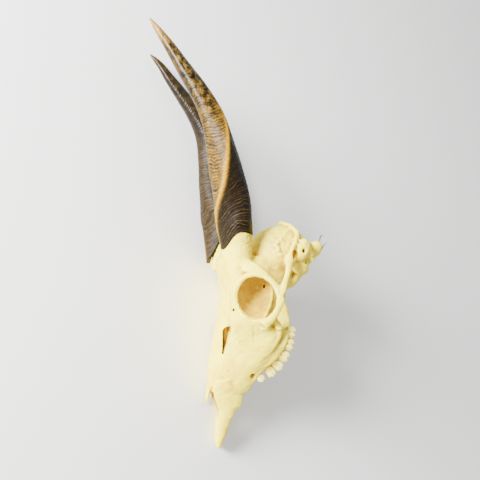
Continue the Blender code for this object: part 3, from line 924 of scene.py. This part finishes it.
def points_of(thing):
    """A piece's points and their outward normals, as arrays."""
    count = len(thing.data.vertices)
    points = np.empty(count * 3, np.float32)
    normals = np.empty(count * 3, np.float32)
    thing.data.vertices.foreach_get("co", points)
    thing.data.vertex_normals.foreach_get("vector", normals)
    return points.reshape(-1, 3).astype(float), normals.reshape(-1, 3).astype(float)


def move_points(thing, points):
    thing.data.vertices.foreach_set("co", points.astype(np.float32).ravel())
    thing.data.update()


def unevenness(points, size, seed):
    """A smooth random value between about -1 and 1 for each point, with bumps of this size."""
    chance = np.random.default_rng(seed)
    ways = chance.normal(size=(WAVES, 3))
    ways /= np.linalg.norm(ways, axis=1)[:, None] * size * chance.uniform(0.75, 1.35, (WAVES, 1))
    phases = chance.uniform(0, 2 * np.pi, WAVES)
    return np.cos(2 * np.pi * points @ ways.T + phases).sum(1) / math.sqrt(WAVES * 1.5)


def folded(points):
    """The points, with those on the animal's right moved across to its left."""
    either = points.copy()
    either[:, 2] = np.abs(either[:, 2])
    return either


def near_point(points, centre, radius):
    """1 at a point on either side of the skull, falling smoothly to 0 at this radius."""
    share = np.clip(1 - np.linalg.norm(folded(points) - np.array(centre), axis=1) / radius, 0, 1)
    return share * share * (3 - 2 * share)


def pits(points, size, seed):
    """Distance from each point to the nearest of many scattered pit centres, over the pit spacing."""
    spots = np.random.default_rng(seed).uniform(0, 1, (PIT_SPOTS, 3))
    cells = np.floor(points / size).astype(int)
    best = np.full(len(points), 9.0)
    for step in np.ndindex(3, 3, 3):
        cell = cells + np.array(step) - 1
        index = (cell[:, 0] * 73856093 ^ cell[:, 1] * 19349663 ^ cell[:, 2] * 83492791) % PIT_SPOTS
        gap = points / size - cell - spots[index]
        best = np.minimum(best, np.linalg.norm(gap, axis=1))
    return best


def line_distance(points, line):
    """Distance from each point, on either side of the skull, to a line of (x, y, z) places."""
    either = folded(points)
    best = np.full(len(points), 99.0)
    for start, end in zip(line, line[1:]):
        along = np.array(end, float) - np.array(start, float)
        away = either - np.array(start, float)
        share = np.clip(away @ along / (along @ along), 0, 1)
        best = np.minimum(best, np.linalg.norm(away - share[:, None] * along, axis=1))
    return best


# Relief lines on the skull's side: (places, height, half width), all in millimetres
RELIEF = (
    (
        ((-21.5, -12, 20.5), (-19.5, -26, 25), (-17.6, -38, 28.5), (-16.6, -49, 28), (-16.3, -72, 31)),
        -1.5,
        1.5,
    ),
    (((-22, -18, 15), (-20.5, -38, 19), (-19.8, -58, 22), (-20.5, -76, 23)), -0.8, 1.3),
    (((-23.5, -16, 25), (-20, -30, 29), (-15, -44, 33)), 0.8, 1.8),
    (((50, 14, 17), (40, 4, 27), (31, -7, 29.5), (33.5, -16, 31), (38, -21, 34)), 2.0, 2.2),
    (((24, -3, 31), (29, -11, 31), (30, -20, 30)), 1.0, 1.5),
    (((13.5, -90, 43.5), (22, -89, 43.5), (33, -90, 41)), 1.4, 1.8),
    (((6, -84, 45.5), (4, -89, 42), (6, -95, 38.3), (6, -103, 36)), -0.4, 0.9),
)


def weathered(bone):
    """Adds the small relief of real bone: soft waves, porous horn roots, ridges and grooves."""
    points, normals = points_of(bone)
    outer = np.clip(0.35 + normals[:, 2] * np.sign(points[:, 2]) * 2, 0, 1)
    push = 0.2 * unevenness(points, 11, 1) + 0.12 * unevenness(points, 4.5, 2)
    root = near_point(points, (3, -2, 30), 23) * (points[:, 1] < 12) * (points[:, 0] < 19)
    bent = points + 0.9 * np.stack([unevenness(points, 3.5, seed) for seed in (21, 22, 23)], 1)
    lace = np.clip(0.66 - pits(bent, 2.3, 3), 0, 1) + 0.7 * np.clip(0.6 - pits(bent, 4.1, 13), 0, 1)
    push -= 1.9 * root * lace
    push += 0.5 * root * unevenness(points, 2.6, 4)
    rough = near_point(points, (37, -8, 32), 17) + near_point(points, (56, -2, 30), 16)
    push += 0.7 * rough * unevenness(points, 4.5, 5)
    rim = np.exp(-((line_distance(points, orbit_ring(1.08) + orbit_ring(1.08)[:1]) / 3.5) ** 2))
    push += 0.4 * rim * unevenness(points, 5.0, 6)
    for line, high, wide in RELIEF:
        swell = 1 + 0.5 * unevenness(points, 4, 9) if high > 0 else 1
        push += high * swell * np.exp(-((line_distance(points, line) / wide) ** 2)) * outer
    move_points(bone, points + normals * push[:, None])


# Corners to round off: place, radius
EASED = (
    ((-2, -27, 39), 9),
    ((3, -31, 42), 7),
    ((8, -26, 33), 8),
    ((35.3, -58.5, 52.4), 5),
)


def neighbours_mean(thing, points, rounds):
    """The points, each moved to the mean of its neighbours this many times."""
    edges = np.empty(len(thing.data.edges) * 2, np.int32)
    thing.data.edges.foreach_get("vertices", edges)
    one, two = edges.reshape(-1, 2).T
    count = np.bincount(one, minlength=len(points)) + np.bincount(two, minlength=len(points))
    for _ in range(rounds):
        total = np.empty_like(points)
        for axis in range(3):
            total[:, axis] = np.bincount(one, points[two, axis], len(points))
            total[:, axis] += np.bincount(two, points[one, axis], len(points))
        points = total / np.maximum(count, 1)[:, None]
    return points


def eased(bone):
    """Rounds off the places where the melted masses left a corner."""
    points, _ = points_of(bone)
    share = np.zeros(len(points))
    for centre, radius in EASED:
        share = np.maximum(share, near_point(points, centre, radius))
    share = np.clip(share * 2, 0, 1)[:, None]
    move_points(bone, points * (1 - share) + neighbours_mean(bone, points, 60) * share)


# The passages run about along the camera's line of sight
TOWARDS_VIEW = Vector((-0.2, -0.1, 0.97))
# Small passages for vessels and nerves: place, half width, half height, depth
FORAMINA = (
    ((-13.7, -71.9, 35.5), 1.3, 1.6, 9),
    ((-16.5, -131.5, 21.9), 0.5, 1.1, 5),
    ((21.0, -48.7, 19.1), 1.3, 2.2, 8),
    ((62.4, -24.9, 27.6), 1.0, 1.2, 6),
    ((69.2, -18.4, 29.3), 1.5, 1.0, 7),
    ((44.5, -29.5, 30.0), 1.2, 1.8, 8),
)


def foramen(middle, half_width, half_height, deep):
    """A small passage for a vessel or a nerve."""
    ends = [Vector(middle) + TOWARDS_VIEW * 2.5, Vector(middle) - TOWARDS_VIEW * deep]
    return tube("foramen", ends, [(0, half_width)], [(0, half_height)], side=(1, 0, 0), steps=2, sides=16)


def skull_at_full_grain():
    """The whole bony skull in one closed mesh."""
    bone = grown_together("skull", bone_masses(), BONE_GRAIN, MELT_EASE)
    bone = grown_together("skull", [bone] + thin_bars(), BONE_GRAIN, BAR_EASE)
    for hollow in hollows():
        cut(bone, hollow)
    scrolls = both(ball("scroll", (-7, -104, 9.5), (11, 22, 4.5), 12))
    bone = grown_together("skull", [bone] + scrolls, BONE_GRAIN, BAR_EASE)
    eased(bone)
    weathered(bone)
    for passage in FORAMINA:
        for hole in both(foramen(*passage)):
            cut(bone, hole)
    return bone


def bones():
    """The skull's bones, parted along their seams, as a dictionary."""
    skull = skull_at_full_grain()
    cut(skull, LEFT_HORN.room())
    cut(skull, other_side(RIGHT_HORN.room()))
    halves = parted(skull, wall_along(NASAL_SEAM), lambda middle: "nasals" if middle.x < -24 else "rest")
    found = parted(halves["nasals"], midline_wall(), side_name("nasal"))
    halves = parted(
        halves["rest"], wall_along(CHEEK_SEAM), lambda middle: "cranium" if middle.y > -80 else "snout"
    )
    found["cranium"] = halves["cranium"]
    halves = parted(
        halves["snout"], wall_along(SNOUT_SEAM), lambda middle: "front" if middle.y < -160 else "cheeks"
    )
    found.update(parted(halves["front"], midline_wall(), side_name("premaxilla")))
    found.update(parted(halves["cheeks"], midline_wall(), side_name("maxilla")))
    return found


found = bones()
cut(found["cranium"], LEFT_HORN.core(), "UNION")
cut(found["cranium"], other_side(RIGHT_HORN.core()), "UNION")

# Bone's look
# Cream bone, yellower where fat has stayed in it and greyer over the braincase, with fine grain, tiny pores
# and thin seams between the bones that never parted. Painted shade darkens its hollows, the depths of the
# eye sockets and the side of the tooth row, and a painted highlight pales its ridges.
CREAM = linear("#F7E53C")
# Stains on both sides of the skull, and one patch of painted shade: place, radius, colour, strength
STAINS_AND_PAINTED_SHADE = (
    ((-7, -104, 10), 18, "#C89208", 1.0),
    ((20, -1, 30), 24, "#B8A044", 0.9),
    ((10, -6, 27), 12, "#B0904C", 0.7),
    ((33, -32, 26), 20, "#B88C00", 0.95),
    ((42, 8, 20), 16, "#DCCE30", 0.6),
    ((50, -16.5, 26), 10, "#C08600", 0.95),
    ((59, -13.5, 29), 5, "#B06A10", 0.95),
    ((67, -20, 27), 7, "#BC7F1E", 0.8),
    ((60, -30, 20), 22, "#B89A1C", 0.75),
    ((6, -138.6, 23.4), 7, "#D39C1E", 0.85),
    ((-14, -148, 20), 13, "#E0AC00", 0.7),
    ((-15, -128, 22), 12, "#E8BE00", 0.6),
    ((24, -86, 42), 12, "#C8AC18", 0.7),
    # Painted shade on the side of the upper jaw along the tooth row, below the cheek ridge
    ((36, -108, 34), 16, "#B89C18", 0.7),
    ((10, -112, 35), 15, "#F0D600", 0.6),
    ((4, -4, 33), 17, "#DCB800", 0.6),
    ((-13.7, -71.9, 34), 4, "#B06A14", 0.85),
    ((14, -105, 36), 5, "#E8B838", 0.7),
)
# The eye socket's floor, round which the painted shade is darkest, and the socket's tan: partly the bone's
# own colour, partly painted shade.
SOCKET_FLOOR = (21, -66, 26)
SOCKET_TAN_AND_SHADE = linear("#CC9E00")
NOSE_ORANGE = linear("#BC8000")
# Lines where bones have grown together
FINE_SEAMS = (
    ((6.3, -84, 45.5), (3.9, -89, 42), (6, -95, 38.3), (6, -103, 36)),
    ((-4.8, -100.5, 33), (-8.6, -105, 31)),
    ((-16.5, -73, 31), (-17, -81, 30.5), (-17.4, -88, 29.5)),
    ((4, 2, 33), (5, -8, 35), (6.7, -23.7, 31), (12, -33, 38)),
    ((-24, 20, 0), (-26, 0, 0), (-24, -30, 0), (-22, -50, 0), (-24, -87, 0)),
    ((-20.5, -50, 12), (-21, -66, 14), (-22, -87, 13)),
)


def give(thing, name, values):
    """Stores one value or one colour for each point of a piece."""
    kind = "FLOAT" if values.ndim == 1 else "FLOAT_COLOR"
    layer = thing.data.attributes.new(name, kind, "POINT")
    layer.data.foreach_set("value" if values.ndim == 1 else "color", values.astype(np.float32).ravel())


def inside_nose(points, normals):
    """1 where a face looks into the hollow of the nose."""
    heights = [(top + bottom) / 2 for _, top, bottom, _ in NOSE_CUTS]
    middle = np.interp(points[:, 1], [row[0] for row in NOSE_CUTS], heights)
    inward = normals[:, 2] * points[:, 2] + normals[:, 0] * (points[:, 0] - middle)
    return ((inward < -1) & (points[:, 1] < -82)).astype(float)


def inside_socket(points):
    """How far a point lies inside an eye socket, from 0 at its mouth to 1."""
    out = np.array(ORBIT_DOWN.cross(ORBIT_BACK))
    out = out if out[2] > 0 else -out
    away = folded(points) - np.array(ORBIT_CENTRE)
    deep = -(away @ out)
    beside = np.linalg.norm(away + deep[:, None] * out, axis=1)
    return np.clip((deep - 0.5) / 4, 0, 1) * np.clip((23.5 - beside) / 1.5, 0, 1) * (deep < 62)


def hollowness(thing, points, normals):
    """How far each point lies in a hollow of the surface, in mm: below 0 on a ridge."""
    return ((neighbours_mean(thing, points, 16) - points) * normals).sum(1)


def blended(colour, share, code):
    share = np.clip(share, 0, 1)[:, None]
    return colour * (1 - share) + np.array(code) * share


def tinted(thing, base, stains_and_shade):
    """Gives each point its colour (stain patches, painted shade in hollows and eye sockets, painted
    highlight on ridges), how porous it is, and its distance to the nearest fine seam.
    """
    points, normals = points_of(thing)
    colour = np.tile(np.array(base), (len(points), 1))
    for number, (centre, radius, code, strength) in enumerate(stains_and_shade):
        patchy = 0.85 + 0.4 * unevenness(points, 9, 40 + number)
        share = near_point(points, centre, radius * 1.15) * patchy * strength
        colour = blended(colour, share, linear(code))
    # Inside the eye sockets: tan that is partly the bone's colour and partly painted shade, then darker
    # painted shade towards the socket's floor.
    mottled = 0.9 + 0.2 * unevenness(points, 8, 31)
    colour = blended(colour, inside_socket(points) * mottled, SOCKET_TAN_AND_SHADE)
    deeper_socket_shade = near_point(points, SOCKET_FLOOR, 17) * 1.4
    colour = blended(colour, inside_socket(points) * deeper_socket_shade, linear("#8A6400"))
    # Painted shade: darker brown the deeper a point lies in a hollow. Painted highlight: paler yellow on
    # ridges.
    hollow = hollowness(thing, points, normals)
    colour = blended(colour, hollow * 1.8 - 0.05, linear("#A87800"))
    colour = blended(colour, -hollow * 0.8 - 0.05, linear("#FFF430"))
    snout_fade = np.clip((points[:, 1] + 186) / 18, 0, 1)
    colour = blended(colour, inside_nose(points, normals) * 0.9 * snout_fade, NOSE_ORANGE)
    give(thing, "tint", colour)
    give(thing, "porous", near_point(points, (3, -2, 30), 25))
    offset = np.full(len(points), 99.0)
    for line in FINE_SEAMS:
        offset = np.minimum(offset, line_distance(points, line))
    give(thing, "seam", np.clip(offset, 0, 9))


def bone_material():
    """Cream bone from the stored tints, which hold painted shade and highlights, with blotches, grain,
    pores and fine seams.
    """
    s = Shader("dry bone")
    mm = s.millimetres()
    grain = s.noise(mm, 1.1, 4.0, 0.65)
    # Pores round the horn roots
    pit = s.add("TexVoronoi", {"Vector": mm, "Scale": 0.75, "Randomness": 1.0}).outputs["Distance"]
    pore = s.times(s.ramp(pit, 0.12, 0.42, 1.0, 0.0), s.layer("porous"))
    # Seams, wavering a little to either side of their lines
    wobble = s.ramp(s.noise(mm, 0.55, 2.0), 0.0, 1.0, -0.7, 0.7)
    bent = s.add("Math", {0: s.layer("seam"), 1: wobble}, operation="ADD").outputs[0]
    off = s.add("Math", {0: bent}, operation="ABSOLUTE").outputs[0]
    crack = s.ramp(off, 0.2, 0.55, 1.0, 0.0)
    warm = s.ramp(s.noise(mm, 0.07, 5.0, 0.6), 0.42, 0.68, 0.0, 0.6)
    colour = s.mix(warm, s.layer("tint", "Color"), "#E0B400")
    colour = s.mix(s.ramp(grain, 0.3, 0.7, 0.0, 0.22), colour, "#FFF41C")
    colour = s.mix(s.times(pore, 0.65), colour, "#A07010")
    colour = s.mix(s.times(crack, 0.6), colour, "#B0741C")
    relief = s.bump(grain, 0.5, 0.4)
    relief = s.bump(pore, 0.9, 0.9, relief, invert=True)
    relief = s.bump(crack, 0.8, 0.5, relief, invert=True)
    return s.finish(0.25, Base_Color=colour, Roughness=s.ramp(grain, 0.0, 1.0, 0.42, 0.62), Normal=relief)


bone_look = bone_material()


SHARP_EDGE = math.radians(48)


def shown(thing, nodes, materials):
    """Lays a finished piece in its place, in metres, flat where it touches the floor."""
    thing.data.transform(place @ Matrix.Scale(MM, 4))
    for vert in thing.data.vertices:
        vert.co.z = max(vert.co.z, 0.0)
    thing.data.materials.clear()
    for material in materials:
        thing.data.materials.append(material)
    thing.data.shade_smooth()
    thing.data.set_sharp_from_angle(angle=SHARP_EDGE)
    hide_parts(*nodes)
    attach(thing, "root")


# The cheek teeth
# Worn enamel columns, six on each side, their roots sunk in the upper jaw. Each crown has one or
# two lobes, upright ribs and a chewing face of raised crescents round a trough.
CROWN_HEIGHT = 8.0
ROOT_DEPTH = 5.0
CROWN_SIDES = 48
# The teeth from front to back: x, y, z, half length, half width, number of lobes
CHEEK_TEETH = (
    (19.0, -143.2, 21.0, 3.9, 2.8, 1),
    (29.6, -137.6, 23.0, 4.7, 3.7, 1),
    (37.6, -130.0, 25.0, 4.8, 4.4, 1),
    (43.4, -119.6, 26.5, 5.8, 5.0, 2),
    (48.4, -107.4, 27.3, 6.3, 5.6, 2),
    (50.6, -95.0, 27.0, 6.2, 5.4, 2),
)

# Rings of a crown from the root to the trough: height, size, how far the crescents rise
ENAMEL_ROWS = (
    (-CROWN_HEIGHT - ROOT_DEPTH, 0.62, 0.0),
    (-CROWN_HEIGHT, 0.86, 0.0),
    (-6.0, 0.93, 0.0),
    (-4.0, 0.97, 0.0),
    (-2.2, 1.0, 0.1),
    (-0.9, 1.0, 0.4),
    (0.1, 0.95, 0.9),
    (0.2, 0.82, 0.9),
    (-0.7, 0.62, 0.3),
    (-0.2, 0.45, 0.3),
    (-1.1, 0.25, 0.0),
)


def tooth(index):
    """A cheek tooth: a ribbed column whose chewing face has raised crescents round a trough."""
    x, y, z, half_length, half_width, lobes = CHEEK_TEETH[index]
    along = heading([Vector(row[:3]) for row in CHEEK_TEETH], index)
    out = (Vector((0, 0, 1)) - along.z * along).normalized()
    down = along.cross(out)
    if down.x < 0:
        down = -down
    top = Vector((x, y, z)) - down * 2.0
    rings = []
    for height, grow, cusp in ENAMEL_ROWS:
        ring = []
        for c, s in circle(CROWN_SIDES):
            waist = 0.36 * math.exp(-((c / 0.16) ** 2)) if lobes == 2 else 0.0
            middle = 0.5 if lobes == 2 else 0.0
            rib = 0.2 * math.exp(-(((abs(c) - middle) / 0.12) ** 2))
            rib += 0.18 * math.exp(-(((abs(c) - 0.88) / 0.1) ** 2))
            reach = 1 - waist + rib * min(1, grow * 1.1)
            point = math.exp(-(((abs(c) - middle) / 0.3) ** 2))
            ring.append(
                top
                + along * half_length * grow * c * (0.93 + 0.07 * abs(c))
                + out * half_width * grow * reach * s
                + down * (height + cusp * (1.3 * point - 0.3) * min(1, abs(s) * 1.4))
            )
        rings.append(ring)
    return loft("tooth", rings)


crowns = kdtree.KDTree(2 * len(CHEEK_TEETH) * CROWN_SIDES * len(ENAMEL_ROWS))
heights = []
for side in ("left", "right"):
    jaw = found["maxilla_" + side]
    for index in range(len(CHEEK_TEETH)):
        crown = other_side(tooth(index)) if side == "right" else tooth(index)
        for number, vert in enumerate(crown.data.vertices):
            crowns.insert(vert.co, len(heights))
            heights.append(ENAMEL_ROWS[number // CROWN_SIDES][0])
        cut(jaw, crown, "UNION")
crowns.balance()


def enamelled(jaw):
    """Gives the points of the teeth their enamel colours: darker brown towards the gum."""
    layer = jaw.data.attributes["tint"].data
    pale, gum_end = Vector(linear("#ECDC74")), Vector(linear("#6A4C08"))
    for vert in jaw.data.vertices:
        if vert.co.x < 8 or vert.co.y > -84:
            continue
        _, number, far = crowns.find(vert.co)
        if far < 0.02:
            share = min(1.0, max(0.0, (heights[number] + CROWN_HEIGHT) / 4.0))
            layer[vert.index].color = gum_end.lerp(pale, share)


for name, bone in found.items():
    tinted(bone, CREAM, STAINS_AND_PAINTED_SHADE)
    if name.startswith("maxilla"):
        enamelled(bone)
    bone.name = name + "_bone"
    shown(bone, [name], [bone_look])


# The horn sheaths
# Dark horn with close growth ribs at the bottom, a pale line along its keel, a tan band beside it
# and smooth honey tips. Each one is a cup over the bony core and solid above it.
HORN_SIDES = 120
HORN_STEPS = 460
CUP_STEPS = (1, 0.75, 0.5, 0.25, 0)
RIB_SPACING = 3.1
# How far the ribs run towards the tip, in mm, by the angle from the keel
SWEEP = (
    (-3.1416, 4),
    (-2.4, 13),
    (-1.6, 15),
    (-0.9, 12),
    (-0.4, 6.5),
    (0, 0),
    (0.4, -2.5),
    (0.9, -2.5),
    (1.6, 1),
    (2.4, 3),
    (3.1416, 4),
)


def sheath_piece(horn, name, flip):
    """A sheath in fine steps, with its ribs as real relief, and where each point sits on it."""
    rings = []
    places = []
    for down in CUP_STEPS:
        inset = HORN_WALL + SOCKET_TAPER * down
        rings.append(horn.ring(horn.rim + horn.socket * down, inset, 1 - down, HORN_SIDES))
        places.append(horn.rim + horn.socket * down)
    for step in range(HORN_STEPS):
        up = step / (HORN_STEPS - 1)
        share = horn.rim + (1 - horn.rim) * up
        rings.append(horn.ring(share, 0.0, edge_wave(up), HORN_SIDES))
        places.append(share)
    thing = loft(name, rings)
    points, normals = points_of(thing)
    shares = np.repeat(places, HORN_SIDES)
    turns = np.tile(2 * np.pi * np.arange(HORN_SIDES) / HORN_SIDES, len(places))
    keels = np.radians([value_at(KEEL_TURN, share) for share in places]).repeat(HORN_SIDES)
    off = (turns - keels + np.pi) % (2 * np.pi) - np.pi
    sweep = np.interp(off, *zip(*SWEEP))
    along = (shares - horn.rim) * horn.length
    drift = 1.3 * unevenness(np.stack([along, along * 0, along * 0], 1), 17, 12)
    growth = along - sweep + drift + 0.8 * unevenness(points, 10, 7)
    inner = np.arange(len(points)) < len(CUP_STEPS) * HORN_SIDES
    fade = np.clip(1.25 - along / (0.6 * horn.length), 0, 1) ** 0.6
    rib_number = np.round(growth / RIB_SPACING)
    phase = np.abs(growth / RIB_SPACING - rib_number)
    groove = (0.65 + 0.35 * np.sin(rib_number * 2.4)) * np.exp(-((phase / 0.17) ** 2))
    crest = (0.6 + 0.4 * np.sin(rib_number * 1.7 + off * 2)) * np.exp(-(((0.5 - phase) / 0.16) ** 2))
    push = (0.12 * crest - 0.3 * groove + 0.12 * unevenness(points, 6, 8) - 0.2) * fade
    push = np.where(inner, 0, push)
    if flip:
        points[:, 2] *= -1
        normals[:, 2] *= -1
    layers = {"along": along, "growth": growth, "keel": np.exp(-((off / 0.12) ** 2))}
    layers |= {"flank": 0.5 - 0.5 * np.sin(off), "brow": 0.5 - 0.5 * normals[:, 0]}
    layers |= {"ribbed": fade, "groove": groove * fade, "crest": crest * fade}
    for layer, values in layers.items():
        give(thing, layer, values)
    move_points(thing, points + normals * push[:, None])
    if flip:
        thing.data.flip_normals()
    return thing


def horn_material(name, shade):
    """Horn from the stored ribs and sides; shade is a share of painted shade that darkens the whole sheath.
    """
    s = Shader(name)
    mm = s.millimetres()
    along, growth = s.layer("along"), s.layer("growth")
    keel, groove, crest = s.layer("keel"), s.layer("groove"), s.layer("crest")
    fine_place = s.add("CombineXYZ", {0: s.times(growth, 0.9), 1: along, 2: 0.0}).outputs[0]
    long_place = s.add("VectorMath", {0: mm, 1: (0.5, 0.1, 0.5)}, operation="MULTIPLY").outputs[0]
    fine = s.noise(fine_place, 1.0, 5.0, 0.75)
    patchy = s.ramp(s.noise(mm, 0.16, 6.0, 0.65), 0.42, 0.6)
    streaky = s.ramp(s.noise(long_place, 1.0, 5.0, 0.7), 0.38, 0.62)
    finely = s.ramp(fine, 0.4, 0.62)
    # Colours of the ribbed part: near black on the flank, tan on the brow side, one pale keel
    flank_side = s.ramp(s.layer("flank"), 0.46, 0.62)
    dark = s.mix(finely, "#040100", "#180D01")
    tan = s.mix(patchy, s.mix(finely, "#140D02", "#3C2A04"), s.mix(finely, "#2C1E02", "#845E04"))
    ribbed_part = s.mix(flank_side, tan, dark)
    crest_colour = s.mix(flank_side, "#B48A28", "#5E4A1C")
    ribbed_part = s.mix(s.times(s.times(crest, finely), 0.9), ribbed_part, crest_colour)
    # Colours of the smooth part: golden on the brow's side, mottled olive brown behind, honey tips
    mottled = s.mix(patchy, "#0E0701", s.mix(streaky, "#221802", "#80662C"))
    golden = s.mix(patchy, "#140D02", s.mix(streaky, "#1E1402", "#5E4404"))
    smooth_part = s.mix(s.ramp(s.layer("brow"), 0.62, 0.85), mottled, golden)
    colour = s.mix(s.ramp(along, 95.0, 150.0), ribbed_part, smooth_part)
    colour = s.mix(s.ramp(groove, 0.1, 0.8, 0.0, 0.9), colour, "#0C0600")
    keel_share = s.times(keel, s.ramp(along, 170.0, 110.0, 0.0, 0.9))
    colour = s.mix(keel_share, colour, s.mix(finely, "#8A6008", "#C8980C"))
    tip_share = s.ramp(along, 200.0, 248.0, 0.0, 0.85)
    colour = s.mix(tip_share, colour, s.mix(streaky, "#886020", "#D0A850"))
    # Painted shade over the whole sheath, by the share given as shade.
    colour = s.mix(shade, colour, "#17120A")
    relief = s.bump(s.times(fine, s.layer("ribbed")), 0.5, 0.4)
    relief = s.bump(s.noise(mm, 0.8, 6.0, 0.7), 0.3, 0.3, relief)
    return s.finish(0.15, Base_Color=colour, Roughness=s.ramp(along, 60.0, 190.0, 0.5, 0.28), Normal=relief)


ribbed_horn = horn_material("ribbed horn", 0.0)
# The right horn lies nearer the floor, under the skull: the same horn with painted shade over it.
horn_in_painted_shade = horn_material("horn in painted shade", 0.8)
shown(sheath_piece(LEFT_HORN, "left_sheath", False), ["horn_left"], [ribbed_horn])
shown(sheath_piece(RIGHT_HORN, "right_sheath", True), ["horn_right"], [horn_in_painted_shade])


# The hanging loop
# A short loop of dull wire, both ends pushed into the back of the skull.
WIRE_RADIUS = 0.65


def hanger():
    """The loop of wire in the back of the skull."""
    points = [
        (83.2, -13, 7.3),
        (84.8, -7.5, 7.2),
        (84.8, -3.0, 4.0),
        (85.4, 2.6, 4.8),
        (86.2, 5.6, 8.0),
        (88.0, 2.6, 11.0),
        (88.4, -3.0, 12.0),
        (86.2, -7.5, 9.4),
        (84.0, -13, 9.0),
    ]
    thick = [(0, WIRE_RADIUS)]
    return tube("hanger", points, thick, thick, side=(1, -0.3, -0.4), steps=48, sides=8)


wire_look = Shader("dull galvanised wire").finish(
    Base_Color=linear("#9A9C84"), Metallic=1.0, Roughness=0.45
)
shown(hanger(), ["hanger"], [wire_look])
